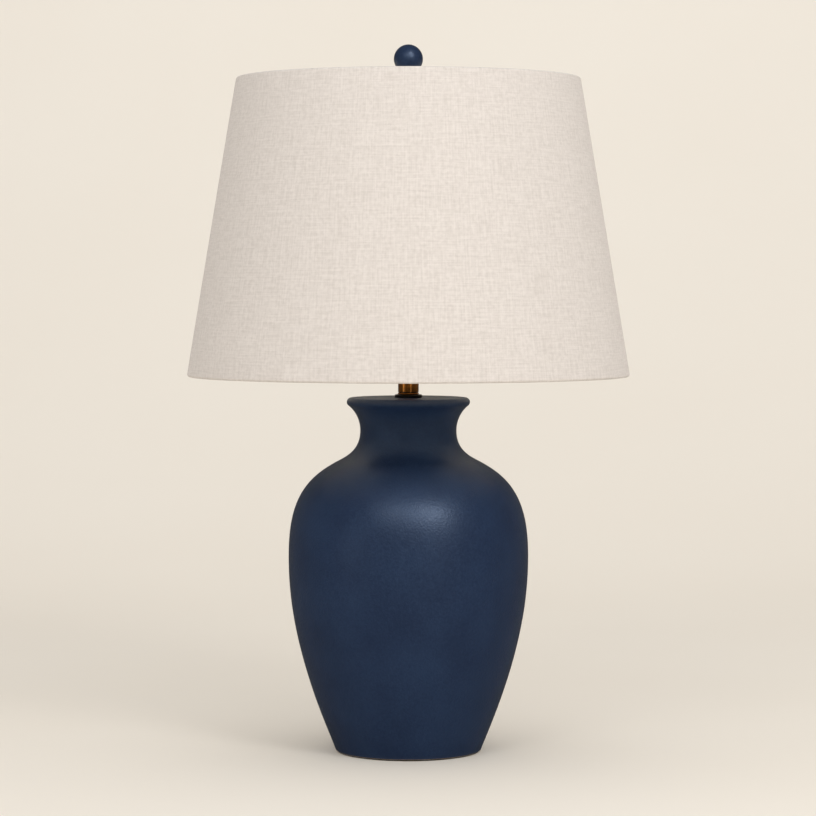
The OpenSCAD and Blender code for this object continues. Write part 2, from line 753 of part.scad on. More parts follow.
module socket_core() {
    pocket = terminal_sink + terminal_t;
    color("#2a1d16") difference() {
        translate([0, 0, core_foot_z]) cylinder(r = core_r, h = core_top - core_foot);
        translate([0, 0, switch_axis_z]) to_front() translate([0, 0, core_r - shaft_depth])
            cylinder(d = shaft_d + 2 * shaft_gap, h = shaft_depth + past);
        for (side = [-1, 1]) at_terminal(side) translate([0, 0, -past]) {
            cylinder(d = terminal_d + 2 * terminal_room, h = past + pocket);
            cylinder(d = terminal_shank, h = past + pocket + terminal_len);
        }
    }
}

module terminal_screws() {
    color(brass) for (side = [-1, 1]) at_terminal(side) translate([0, 0, terminal_sink]) {
        cylinder(d = terminal_d, h = terminal_t);
        cylinder(d = terminal_shank, h = terminal_t + terminal_len);
    }
}

module screw_shell() {
    r = screw_bore / 2;
    h = socket_top_z - screw_drop - core_top_z;
    color(brass) translate([0, 0, core_top_z]) rotate_extrude() polygon([
        [screw_floor_hole / 2, 0], [r + screw_t, 0], [r + screw_t, h], [r, h],
        [r, screw_t], [screw_floor_hole / 2, screw_t]]);
}

// Spring strip under the bulb: a flat foot on the core and a leaf bent up over it
module centre_contact() {
    half = screw_floor_hole / 2 - 2 * contact_t;
    top = screw_t + contact_rise;
    color(brass) translate([0, 0, core_top_z]) to_front() translate([0, 0, -contact_w / 2])
        linear_extrude(contact_w) polygon([
            [half, 0], [-half, 0], [-half, top - contact_t - contact_rise / 2], [-half / 2, top], [half / 2, top],
            [half / 2, top - contact_t], [-half / 2 + contact_t / 2, top - contact_t],
            [-half + contact_t, top - 2 * contact_t - contact_rise / 2], [-half + contact_t, contact_t],
            [half, contact_t]]);
}

// Cut that lets the switch shaft into a sleeve from its lower edge
module shaft_slot(foot_z, r) {
    w = shaft_d + 2 * slot_room;
    translate([0, 0, switch_axis_z]) to_front() cylinder(d = w, h = r + past, $fn = 48);
    translate([-w / 2, -r - past, foot_z - past]) cube([w, r + past, switch_axis_z - foot_z + past]);
}

module socket_liner() {
    color("#8a7a62") difference() {
        translate([0, 0, shell_foot_z])
            tube(2 * liner_r, 2 * (liner_r - liner_t), socket_top_z - liner_drop - shell_foot_z);
        shaft_slot(shell_foot_z, liner_r);
    }
}

module socket_shell() {
    h = socket_top_z - shell_foot_z;
    color(bronze) difference() {
        translate([0, 0, shell_foot_z]) rotate_extrude() polygon(concat(
            [[shell_r - shell_t, 0], [shell_r, 0], [shell_r, h - shell_bead_h]],
            arc([shell_r + shell_bead - shell_bead_h / 2, h - shell_bead_h / 2], shell_bead_h / 2, -60, 90, 6),
            [[shell_r - shell_t, h]]));
        shaft_slot(shell_foot_z, shell_r);
    }
}

module switch_shaft() {
    from = core_r - shaft_depth + pipe_gap;
    color(steel) translate([0, 0, switch_axis_z]) to_front() translate([0, 0, from])
        cylinder(d = shaft_d, h = shell_r + shaft_out - key_h + key_bore - from, $fn = 48);
}

// Tapered key with flutes round its grip and a blind hole for the shaft
module switch_key() {
    color("#1d1a18") translate([0, 0, switch_axis_z]) to_front()
        translate([0, 0, shell_r + shaft_out - key_h]) difference() {
            rotate_extrude() polygon([[0, 0], [key_neck_d / 2, 0], [key_neck_d / 2, key_h / 4],
                [key_d / 2, key_h / 2], [key_d / 2, key_h - flute_depth], [key_d / 2 - flute_depth, key_h],
                [0, key_h]]);
            translate([0, 0, -past]) cylinder(d = shaft_d, h = key_bore + past, $fn = 48);
            for (i = [0:key_flutes - 1]) rotate([0, 0, i * 360 / key_flutes])
                translate([key_d / 2, 0, key_h / 4])
                    cylinder(r = flute_depth, h = key_h, $fn = 16);
        }
}

module bulb_contact() {
    color(brass) translate([0, 0, bulb_z]) cylinder(d = bulb_contact_d, h = bulb_contact_h);
}

module bulb_insulator() {
    color("#191614") translate([0, 0, bulb_z + bulb_contact_h]) rotate_extrude() polygon([
        [0, 0], [bulb_contact_d / 2 + 1, 0], [bulb_cap_d / 2 - 1.5, insulator_h], [0, insulator_h]]);
}

module bulb_cap() {
    r = bulb_cap_d / 2;
    color(steel) translate([0, 0, bulb_z + bulb_contact_h + insulator_h]) rotate_extrude() polygon([
        [0, 0], [r - 1.5, 0], [r, 1.5], [r, bulb_cap_h], [0, bulb_cap_h]]);
}

module bulb_body() {
    foot = [bulb_neck_d / 2, bulb_z + bulb_contact_h + insulator_h + bulb_cap_h];
    edge = [bulb_joint_d / 2, foot.y + bulb_body_h];
    color("#ece9e2") rotate_extrude() polygon(concat([[0, foot.y]],
        curve(foot, lean(0), edge, lean(20), 0.55, 0.45), [[0, edge.y]]));
}

// Translucent globe: a full ball above, drawn in to the joint below, and hollow
module bulb_globe() {
    joint_z = bulb_z + bulb_contact_h + insulator_h + bulb_cap_h + bulb_body_h;
    r = globe_d / 2;
    top = bulb_z + bulb_h;
    middle = [0, top - r];
    low = -acos(bulb_joint_d / globe_d);
    outer = arc(middle, r, low, 90, 18);
    inner = arc(middle, r - globe_t, 90, low, 18);
    color("#f6f3ea") rotate_extrude() polygon(concat(
        [[bulb_joint_d / 2, joint_z]], outer, inner, [[bulb_joint_d / 2 - globe_t, joint_z]]));
}

module ring(middle) {
    translate([0, 0, middle.y]) rotate_extrude() translate([middle.x, 0])
        circle(d = frame_wire, $fn = 48);
}

// The spider's arms, with room round them when they cut the linen
module arms(room) {
    start = spider_hub_d / 2 - frame_wire;
    slope = atan2(top_ring.y - spider_z, top_ring.x - start);
    length = norm([top_ring.x - start, top_ring.y - spider_z]);
    for (i = [0:arm_count - 1]) rotate([0, 0, 90 + i * 360 / arm_count])
        translate([start, 0, spider_z]) rotate([0, 90 - slope, 0])
            cylinder(d = arm_wire + 2 * room, h = length, $fn = 48);
}

module shade_spider() {
    color(brass) difference() {
        union() {
            ring(top_ring);
            arms(0);
            translate([0, 0, shade_seat_z]) cylinder(d = spider_hub_d, h = spider_hub_t);
        }
        translate([0, 0, shade_seat_z - past]) cylinder(d = stud_d + 2 * stud_gap, h = spider_hub_t + 2 * past);
    }
}

module shade_bottom_ring() {
    color(brass) ring(bottom_ring);
}

module shade_backing() {
    face = ring_r + wrap_gap - glue_t;
    a = bottom_ring + backing_stop * shade_run + face * shade_out;
    b = top_ring - backing_stop * shade_run + face * shade_out;
    color("#f4f1ea") rotate_extrude($fn = 180)
        polygon([a, b, b - backing_t * shade_out, a - backing_t * shade_out]);
}

module shade_linen() {
    color(linen) difference() {
        rotate_extrude($fn = 180) polygon(band(linen_line, linen_t));
        arms(arm_notch);
    }
}

module finial_base() {
    foot = finial_foot_d / 2;
    waist = finial_waist_d / 2;
    top = ball_rise - sqrt(pow(ball_d / 2, 2) - pow(ball_flat_d / 2, 2));
    color(brass) translate([0, 0, hub_top_z]) difference() {
        rotate_extrude() polygon(concat([[0, 0], [foot, 0]],
            [[foot, finial_foot_h], [waist, finial_foot_h + (foot - waist) / 2],
                [waist, top - finial_flare_h], [ball_flat_d / 2, top - 1], [ball_flat_d / 2, top],
                [stem_d / 2, top], [stem_d / 2, top + stem_h], [0, top + stem_h]]));
        translate([0, 0, -past]) cylinder(d = stud_d + 2 * finial_gap,
            h = stud_h - spider_hub_t + finial_spare + past);
    }
}

module finial_ball() {
    top = ball_rise - sqrt(pow(ball_d / 2, 2) - pow(ball_flat_d / 2, 2));
    color(navy) difference() {
        translate([0, 0, ball_z]) sphere(d = ball_d);
        translate([0, 0, hub_top_z + top - ball_d]) cylinder(d = ball_d, h = ball_d);
        translate([0, 0, hub_top_z + top - past])
            cylinder(d = stem_d + 2 * stem_gap, h = stem_h + stem_gap + past);
    }
}

felt_ring();
vase();
cord_grommet();
lamp_pipe();
base_washer();
lock_washer();
base_nut();
check_ring();
neck_tube();
harp_saddle();
socket_cap();
set_screw();
socket_core();
terminal_screws();
screw_shell();
centre_contact();
socket_liner();
socket_shell();
switch_shaft();
switch_key();
bulb_contact();
bulb_insulator();
bulb_cap();
bulb_body();
bulb_globe();
harp();
ferrule(-1);  // ferrule_left
ferrule(1);  // ferrule_right
swivel_stud();
shade_spider();
shade_bottom_ring();
shade_backing();
shade_linen();
finial_base();
finial_ball();
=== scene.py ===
"""A table lamp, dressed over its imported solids.

A glazed stoneware vase on a felt ring carries a bronze neck tube, a turn-key
socket with a harp and bulb, and a tapered linen shade under a ball finial.
Lengths are metres, Z is up, the lamp stands on the table at the origin and its
front looks along -Y.
"""

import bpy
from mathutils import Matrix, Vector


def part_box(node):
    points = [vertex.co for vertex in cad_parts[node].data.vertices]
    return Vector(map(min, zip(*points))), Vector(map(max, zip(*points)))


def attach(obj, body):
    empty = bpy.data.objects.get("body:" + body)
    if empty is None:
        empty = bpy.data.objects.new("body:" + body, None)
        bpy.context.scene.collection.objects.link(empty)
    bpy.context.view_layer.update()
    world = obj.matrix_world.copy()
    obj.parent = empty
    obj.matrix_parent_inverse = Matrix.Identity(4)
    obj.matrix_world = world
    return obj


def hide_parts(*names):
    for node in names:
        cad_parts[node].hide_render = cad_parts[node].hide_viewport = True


bl_info = {
    "name": "Ceramic table lamp",
    "version": (1, 0, 0),
    "blender": (4, 5, 0),
    "location": "View3D > Sidebar > Lamp",
    "description": "Models and finishes a glazed table lamp with a linen shade",
    "category": "Add Mesh",
}

from math import acos, asin, atan2, cos, hypot, pi, radians, sin, tan

import bmesh
import bpy
from bpy.props import FloatProperty, FloatVectorProperty, IntProperty, PointerProperty
from bpy.types import Operator, Panel, PropertyGroup
from mathutils import Vector, noise

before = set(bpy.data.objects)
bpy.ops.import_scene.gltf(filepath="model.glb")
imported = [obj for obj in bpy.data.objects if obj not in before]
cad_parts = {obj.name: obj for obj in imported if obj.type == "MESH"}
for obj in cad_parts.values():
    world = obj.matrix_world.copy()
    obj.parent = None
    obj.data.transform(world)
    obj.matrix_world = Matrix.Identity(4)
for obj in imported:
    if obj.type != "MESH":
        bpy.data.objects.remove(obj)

MM = 0.001
# Lamp pipe has 27 threads to the inch, and a bulb's cap has 7
PIPE_PITCH = 0.94 * MM
CAP_PITCH = 3.63 * MM
# Most of a noise texture's values lie between these
NOISE_SPAN = {"From Min": 0.3, "From Max": 0.7}


# Settings


def linear(code):
    """An sRGB hex colour as linear RGBA."""
    channels = [int(code[i : i + 2], 16) / 255 for i in (1, 3, 5)]
    return [c / 12.92 if c <= 0.04045 else ((c + 0.055) / 1.055) ** 2.4 for c in channels] + [1.0]


def colour(title, about, code):
    """A colour setting that starts from an sRGB hex value."""
    return FloatVectorProperty(
        name=title, description=about, default=linear(code), size=4, min=0, max=1, subtype="COLOR"
    )


def mm(title, about, value):
    """A length setting whose default is given in millimetres."""
    return FloatProperty(name=title, description=about, default=value * MM, unit="LENGTH")


def degrees(title, about, value):
    """An angle setting whose default is given in degrees."""
    return FloatProperty(name=title, description=about, default=radians(value), subtype="ANGLE")


def watts(title, about, value):
    """A setting of a light's power."""
    return FloatProperty(name=title, description="Power of " + about, default=value, unit="POWER")


def span(node):
    """Outer radius, foot level and top level of a solid that is turned about the lamp's axis."""
    low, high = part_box(node)
    return high.x, low.z, high.z


vase_r, vase_foot, vase_top = span("vase")
low_ring_r, low_ring_foot, low_ring_top = span("shade_bottom_ring")
spider_r, spider_foot, spider_top = span("shade_spider")
ball_r, ball_foot, ball_top = span("finial_ball")
globe_r, globe_foot, globe_top = span("bulb_globe")
body_r, body_foot, body_top = span("bulb_body")
cap_r, cap_foot, cap_top = span("bulb_cap")
screw_r, screw_foot, screw_top = span("screw_shell")
pipe_r, pipe_foot, pipe_top = span("lamp_pipe")
_, stud_foot, stud_top = span("swivel_stud")
felt_r, felt_foot, felt_top = span("felt_ring")


class VaseSizes(PropertyGroup):
    """The cast vase, measured from the level that its foot stands on."""

    foot_d: mm("Foot", "Diameter of the foot", 151.8)
    foot_lean: degrees("Foot lean", "Lean of the wall at the foot", 21)
    foot_round: mm("Foot edge", "Radius of the foot's edge", 1.3)
    belly_rise: mm("Belly height", "Height of the widest place", 201)
    shoulder_d: mm("Shoulder", "Diameter where the wall turns hollow", 153.4)
    shoulder_lean: degrees("Shoulder lean", "Lean of the wall there", 61)
    shoulder_rise: mm("Shoulder height", "Height above the belly", 97.2)
    neck_d: mm("Neck", "Diameter of the narrowest place", 99.7)
    neck_rise: mm("Neck height", "Height above the shoulder", 33.5)
    lip_d: mm("Lip", "Diameter of the lip", 127.7)
    lip_round: mm("Lip edge", "Radius of the rounded lip", 4.6)
    lip_lean: degrees("Lip lean", "Lean of the wall under the lip", 54)
    wall: mm("Wall", "Thickness of the wall", 6)
    deck: mm("Top and floor", "Thickness of the top and of the floor", 7)
    rim: mm("Foot rim", "Width of the foot's standing rim", 8.9)
    recess_h: mm("Hollow", "Height of the hollow under the foot", 19)
    recess_draft: degrees("Hollow draft", "Draft of the hollow's side", 6)
    pipe_hole_d: mm("Pipe hole", "Diameter of the two pipe holes", 12)
    outlet_d: mm("Outlet", "Diameter of the grommet's hole", 9.2)
    outlet_rise: mm("Outlet height", "Height of the grommet's hole", 10)
    unevenness: mm("Unevenness", "How far the cast wall wanders", 0.18)


class ShadeSizes(PropertyGroup):
    """The linen shade and its wire frame."""

    wire: mm("Rings", "Diameter of the rings' wire", 3.2)
    arm_wire: mm("Arms", "Diameter of the arms' wire", 2.8)
    linen: mm("Linen", "Thickness of the linen", 0.7)
    wrap_gap: mm("Wrap gap", "Gap between the linen and the rings", 0.05)
    wrap_turn: degrees("Wrap", "How far the linen is rolled round a ring", 240)
    seam_w: mm("Seam", "Width of the lapped seam at the back", 13)
    puff: mm("Unevenness", "How far the cloth stands off its liner", 0.22)


class HarpSizes(PropertyGroup):
    """The harp's bent wire."""

    wire: mm("Wire", "Diameter of the wire", 4)
    leg_half: mm("Legs", "Half the distance between the legs", 32)
    leg_h: mm("Leg length", "Straight length above the tabs", 20)
    half: mm("Half width", "Half the greatest width", 54)
    bend_out: mm("Lower bend", "Radius of the bend outward", 18)
    bend_back: mm("Upper bend", "Radius of the bend back upright", 40)
    bend_top: mm("Corners", "Radius of the two upper corners", 32)
    crown_half: mm("Crown", "Half the crown's straight length", 9.5)
    eye_d: mm("Eye", "Diameter of the eye", 16)
    eye_t: mm("Eye thickness", "Thickness of the eye", 3)
    pin_hole_d: mm("Pin hole", "Diameter of the hole in the eye", 4.32)
    end_t: mm("End thickness", "Thickness of the flattened ends", 1.7)
    end_w: mm("End width", "Width of the flattened ends", 4.4)
    end_h: mm("End length", "How far the ends reach below the tabs", 9)
    end_gap: mm("Tab gap", "Gap between a tab and the end beside it", 0.2)


class Finishes(PropertyGroup):
    """Colours of the lamp's finishes."""

    navy: colour("Navy glaze", "The glaze where it lies thick", "#182743")
    navy_thin: colour("Thin glaze", "The glaze where it breaks over an edge", "#3b3f4c")
    bisque: colour("Bisque", "Unglazed stoneware under the foot", "#b9a58b")
    linen_light: colour("Linen, light", "The light threads of the linen", "#e1d9d2")
    linen_dark: colour("Linen, dark", "The darker flecks of the linen", "#c9c0b8")
    bronze: colour("Antique bronze", "The worn places of the bronze plating", "#b67124")
    bronze_dark: colour("Bronze, dark", "The darkened places of the plating", "#70400e")
    brass: colour("Brass", "Bare brass", "#c8a05a")
    zinc: colour("Zinc", "Zinc plating on steel", "#b5b7b9")
    powder_coat: colour("Powder coat", "The coat on the shade's frame", "#e9e6de")
    liner: colour("Liner", "The shade's styrene liner", "#f3efe6")


class StudioSettings(PropertyGroup):
    """The camera and the light."""

    lens: FloatProperty(
        name="Lens", description="Focal length of the camera", default=132.35, subtype="DISTANCE_CAMERA"
    )
    distance: mm("Distance", "From the lamp's axis to the camera", 3106.2)
    aside: mm("Aside", "The camera's place to the left", 0.4)
    height: mm("Height", "Height of the camera", 490)
    pitch: degrees("Pitch", "How far the camera looks down", 2.461)
    key: watts("Key", "the high softbox, right of the camera", 18.7)
    front: watts("Front", "the two softboxes over the camera", 15.8)
    left: watts("Left", "the tall softbox on the left", 1.2)
    low: watts("Low", "the left one of the two low strips", 0.9)
    back: watts("Background", "the background's light", 17.1)
    glint: watts("Glint", "the high card that only glossy finishes show", 30)
    sheen: watts("Sheen", "the wide card that only glossy finishes show", 12)
    sky: FloatProperty(name="Surroundings", description="Strength of the even light", default=0.744, min=0)
    mirrored: FloatProperty(
        name="Mirrored share",
        description="How much of the paper and the even light glossy finishes mirror, as with black flags",
        default=0.18,
        min=0,
        max=1,
    )
    paper: colour("Paper", "The seamless paper behind and under the lamp", "#f2ebe0")


class LampSettings(PropertyGroup):
    """Everything that the lamp's operators read."""

    vase: PointerProperty(type=VaseSizes)
    shade: PointerProperty(type=ShadeSizes)
    harp: PointerProperty(type=HarpSizes)
    finish: PointerProperty(type=Finishes)
    studio: PointerProperty(type=StudioSettings)
    around: IntProperty(name="Steps", description="Steps round a turned piece", default=128, min=24, max=256)


def settings():
    return bpy.context.scene.table_lamp


# Outlines: points in the XZ plane


def points(*pairs):
    """Corners of an outline, each given as its radius and its height."""
    return [Vector(pair) for pair in pairs]


def leaning(angle):
    """Direction of a wall that leans outward from upright."""
    return Vector((sin(angle), cos(angle)))


def curve_points(a, u, b, v, pulls, steps):
    """Points on a cubic curve that leaves a along u and reaches b along v.

    The pulls are how far the curve's two handles reach, as shares of its rise.
    """
    rise = b.y - a.y
    c, d = a + pulls[0] * rise * u, b - pulls[1] * rise * v
    shares = [i / steps for i in range(steps + 1)]
    return [
        (1 - t) ** 3 * a + 3 * (1 - t) ** 2 * t * c + 3 * (1 - t) * t * t * d + t**3 * b for t in shares
    ]


def arc_points(middle, radius, start, end, steps):
    """Points on an arc, from angle start to angle end."""
    angles = [start + (end - start) * i / steps for i in range(steps + 1)]
    return [middle + radius * Vector((cos(w), sin(w))) for w in angles]


def wall_points(radius, low, height, steps):
    """Points up an upright wall, close enough together for a thread."""
    return [Vector((radius, low + height * i / steps)) for i in range(steps + 1)]


def beside(line, gap):
    """A line moved sideways, to the left of its run."""
    moved = []
    for i, point in enumerate(line):
        along = (line[min(i + 1, len(line) - 1)] - line[max(i - 1, 0)]).normalized()
        moved.append(point + gap * Vector((-along.y, along.x)))
    return moved


def joined(*lines):
    """Lines end to end, each later one without its first point."""
    whole = list(lines[0])
    for line in lines[1:]:
        whole += line[1:]
    return whole


# Mesh work


def active_object(obj):
    """Selects one object alone and makes it the active one."""
    bpy.ops.object.select_all(action="DESELECT")
    obj.select_set(True)
    bpy.context.view_layer.objects.active = obj


def edit(obj):
    active_object(obj)
    bpy.ops.object.mode_set(mode="EDIT")
    bpy.ops.mesh.select_all(action="SELECT")


def leave_edit():
    bpy.ops.object.mode_set(mode="OBJECT")


def apply_place():
    """Moves the new object's place, turn and scale into its mesh."""
    bpy.ops.object.transform_apply(location=True, rotation=True, scale=True)
    return bpy.context.object


def add_rod(radius, length, place, vertices, turned=(0, 0, 0)):
    """A round rod, along Z unless it is turned."""
    bpy.ops.mesh.primitive_cylinder_add(
        vertices=vertices, radius=radius, depth=length, location=place, rotation=turned
    )
    return apply_place()


def select_edges(obj, test):
    """In edit mode, selects just the edges whose ends both pass a test of their place."""
    bpy.ops.mesh.select_all(action="DESELECT")
    mesh = bmesh.from_edit_mesh(obj.data)
    for edge in mesh.edges:
        if all(test(v.co) for v in edge.verts):
            edge.select_set(True)
    bmesh.update_edit_mesh(obj.data)


def apply_modifier(obj, kind, **values):
    """Adds a modifier with its settings and applies it."""
    active_object(obj)
    modifier = obj.modifiers.new(kind.title(), kind)
    for key, value in values.items():
        setattr(modifier, key, value)
    bpy.ops.object.modifier_apply(modifier=modifier.name)


def combine(obj, tool, operation="DIFFERENCE"):
    """Cuts a tool's shape out of an object, or unites the two, and takes the tool away."""
    apply_modifier(obj, "BOOLEAN", operation=operation, solver="EXACT", object=tool)
    bpy.data.objects.remove(tool)


def draw_line(name, line):
    """One vertex in the XZ plane, extruded from point to point."""
    bpy.ops.mesh.primitive_plane_add(size=MM, location=(line[0].x, 0, line[0].y))
    obj = apply_place()
    obj.name = obj.data.name = name
    bpy.ops.object.mode_set(mode="EDIT")
    bpy.ops.mesh.select_all(action="SELECT")
    bpy.ops.mesh.merge(type="CENTER")
    for a, b in zip(line, line[1:]):
        step = {"value": (b.x - a.x, 0, b.y - a.y)}
        bpy.ops.mesh.extrude_vertices_move(TRANSFORM_OT_translate=step)
    leave_edit()
    return obj


def turn(name, outline, steps=None):
    """Spins an outline round the lamp's axis.

    The outline is closed first, unless it starts and ends on the axis. Where it runs along the axis, that
    edge is left out.
    """
    on_axis = outline[0].x < 1e-7 and outline[-1].x < 1e-7
    obj = draw_line(name, outline if on_axis else outline + [outline[0]])
    edit(obj)
    bpy.ops.mesh.remove_doubles(threshold=1e-7)
    mesh = bmesh.from_edit_mesh(obj.data)
    for edge in [e for e in mesh.edges if all(abs(v.co.x) < 1e-6 for v in e.verts)]:
        mesh.edges.remove(edge)
    bmesh.update_edit_mesh(obj.data)
    bpy.ops.mesh.select_all(action="SELECT")
    bpy.ops.mesh.spin(
        steps=steps or settings().around, angle=2 * pi, center=(0, 0, 0), axis=(0, 0, 1), dupli=False
    )
    bpy.ops.mesh.select_all(action="SELECT")
    bpy.ops.mesh.remove_doubles(threshold=2e-7)
    bpy.ops.mesh.normals_make_consistent(inside=False)
    leave_edit()
    return obj


def copy_solid(node, name):
    """A CAD solid's mesh as a new object with its doubles merged and its flat faces whole."""
    bpy.ops.object.select_all(action="DESELECT")
    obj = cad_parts[node].copy()
    obj.data = obj.data.copy()
    obj.name = obj.data.name = name
    obj.parent = None
    for key in list(obj.keys()):
        del obj[key]
    obj.data.materials.clear()
    bpy.context.scene.collection.objects.link(obj)
    edit(obj)
    bpy.ops.mesh.remove_doubles(threshold=1e-6)
    bpy.ops.mesh.dissolve_limited(angle_limit=radians(0.6))
    leave_edit()
    return obj


def round_edges(obj, width, segments=2, sharper_than=32):
    """Rounds the edges that are sharper than an angle."""
    apply_modifier(
        obj,
        "BEVEL",
        width=width,
        segments=segments,
        limit_method="ANGLE",
        angle_limit=radians(sharper_than),
        use_clamp_overlap=True,
        harden_normals=False,
    )


def smooth(obj, angle=34):
    active_object(obj)
    bpy.ops.object.shade_smooth_by_angle(angle=radians(angle))


def fit(obj, material, body, slot, *nodes):
    """Gives a finished piece its material, its body and the solids that it stands for."""
    if material and not obj.data.materials:
        obj.data.materials.append(material)
    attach(obj, body)
    if nodes:
        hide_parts(*nodes)


def finish_copy(node, name, width, material, body, slot):
    """Puts a copy of a CAD solid in its place, with its edges rounded."""
    piece = copy_solid(node, name)
    round_edges(piece, width)
    smooth(piece)
    fit(piece, material, body, slot, node)


def dress(material, *nodes):
    """Gives CAD nodes that stay as they are their material."""
    for node in nodes:
        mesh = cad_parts[node].data
        if mesh.materials:
            for i in range(len(mesh.materials)):
                mesh.materials[i] = material
        else:
            mesh.materials.append(material)


def push_out(obj, gap_at):
    """Moves points away from the lamp's axis by a gap that depends on their place and radius."""
    for vertex in obj.data.vertices:
        r = hypot(vertex.co.x, vertex.co.y)
        grown = 1 + gap_at(vertex.co, r) / r
        vertex.co.x, vertex.co.y = vertex.co.x * grown, vertex.co.y * grown


def mark_points(obj, name, value_at):
    """Stores a number at each point of a mesh, for its material to read."""
    marks = obj.data.attributes.new(name, "FLOAT", "POINT")
    for vertex, mark in zip(obj.data.vertices, marks.data):
        mark.value = value_at(vertex.co, hypot(vertex.co.x, vertex.co.y))


def thread_ripple(obj, low, high, inner, outer, slack, pitch, depth, way=1):
    """Cuts a rounded screw thread into the upright wall between two radii, fading out at both ends."""
    for vertex in obj.data.vertices:
        x, y, z = vertex.co
        r = hypot(x, y)
        if inner - slack <= r <= outer + slack and low < z < high:
            fade = min(1.0, (z - low) / pitch, (high - z) / pitch)
            phase = 2 * pi * z / pitch - atan2(y, x)
            new_r = r - way * depth * fade * (0.5 + 0.5 * cos(phase))
            vertex.co.x, vertex.co.y = x * new_r / r, y * new_r / r
    obj.data.update()


# Materials


def new_material(name, **values):
    """A material with one Principled shader, whose even values are set on its own sockets."""
    material = bpy.data.materials.new(name)
    material.use_nodes = True
    shader = material.node_tree.nodes["Principled BSDF"]
    for key, value in values.items():
        shader.inputs[key.replace("_", " ").title().replace("Ior", "IOR")].default_value = value
    return material


def add_node(material, kind, inputs=(), out=None, **values):
    """Adds a shader node with its settings and gives its first output, or the one that out names.

    Inputs go by name, or else in the order that the node shows them. An input that is another node's
    output is linked.
    """
    node = material.node_tree.nodes.new("ShaderNode" + kind)
    for key, value in values.items():
        setattr(node, key, value)
    if isinstance(inputs, dict):
        pairs = [(node.inputs[key], value) for key, value in inputs.items()]
    else:
        pairs = list(zip([socket for socket in node.inputs if socket.enabled], inputs))
    for socket, value in pairs:
        if isinstance(value, bpy.types.NodeSocket):
            material.node_tree.links.new(value, socket)
        else:
            socket.default_value = value
    return node.outputs[out] if out else next(socket for socket in node.outputs if socket.enabled)


def feed(material, **sockets):
    """Links node outputs to the Principled shader's sockets."""
    shader = material.node_tree.nodes["Principled BSDF"]
    for key, socket in sockets.items():
        material.node_tree.links.new(socket, shader.inputs[key.replace("_", " ").title()])


def glazed_stoneware():
    """Satin navy glaze, sprayed over cast stoneware and fired: deep and even, with a faint
    orange-peel skin and a thinner, greyer line where it breaks over the lip and the foot."""
    finish = settings().finish
    bluish = (0.6, 0.75, 1.0, 1.0)
    m = new_material(
        "satin navy glaze", roughness=0.4, ior=1.5, specular_ior_level=0.6, specular_tint=bluish
    )
    place = add_node(m, "TexCoord", out="Object")
    # Pooling of the glaze, 60 mm across, and its fine mottle, 2.5 mm across
    pools = add_node(m, "TexNoise", {"Vector": place, "Scale": 16.0, "Detail": 2.0})
    mottle = add_node(m, "TexNoise", {"Vector": place, "Scale": 400.0, "Detail": 2.0})
    depth = add_node(m, "Math", (pools, mottle), operation="ADD")
    shade = add_node(
        m, "MapRange", {"Value": depth, "From Min": 0.75, "From Max": 1.25, "To Min": 0.0, "To Max": 0.9}
    )
    tint = add_node(m, "Mix", (shade, finish.navy, linear("#20324f")), data_type="RGBA")
    # The mesh marks how near each point is to an edge, where the glaze runs thin
    edge = add_node(m, "Attribute", out="Fac", attribute_name="edge")
    thin = add_node(m, "Mix", (edge, tint, finish.navy_thin), data_type="RGBA")
    # Orange peel of sprayed glaze, 2 mm from dimple to dimple
    peel = add_node(m, "TexNoise", {"Vector": place, "Scale": 500.0, "Detail": 1.0})
    bump = add_node(m, "Bump", {"Height": peel, "Strength": 0.6, "Distance": 0.0003})
    rough = add_node(m, "MapRange", {"Value": mottle, **NOISE_SPAN, "To Min": 0.35, "To Max": 0.45})
    feed(m, base_color=thin, normal=bump, roughness=rough)
    return m


def bare_stoneware():
    """Bisque-fired stoneware that no glaze covers: matte buff with sand grains of about 1 mm."""
    m = new_material("bare stoneware", roughness=0.85)
    place = add_node(m, "TexCoord", out="Object")
    grain = add_node(m, "TexNoise", {"Vector": place, "Scale": 900.0, "Detail": 4.0})
    specks = add_node(m, "TexVoronoi", {"Vector": place, "Scale": 420.0})
    dots = add_node(
        m, "MapRange", {"Value": specks, "From Min": 0.1, "From Max": 0.22, "To Min": 0.55, "To Max": 0.0}
    )
    clay = add_node(m, "Mix", (grain, settings().finish.bisque, linear("#a28e74")), data_type="RGBA")
    spotted = add_node(m, "Mix", (dots, clay, linear("#6d5b49")), data_type="RGBA")
    bump = add_node(m, "Bump", {"Height": grain, "Strength": 0.5, "Distance": 0.0002})
    feed(m, base_color=spotted, normal=bump)
    return m


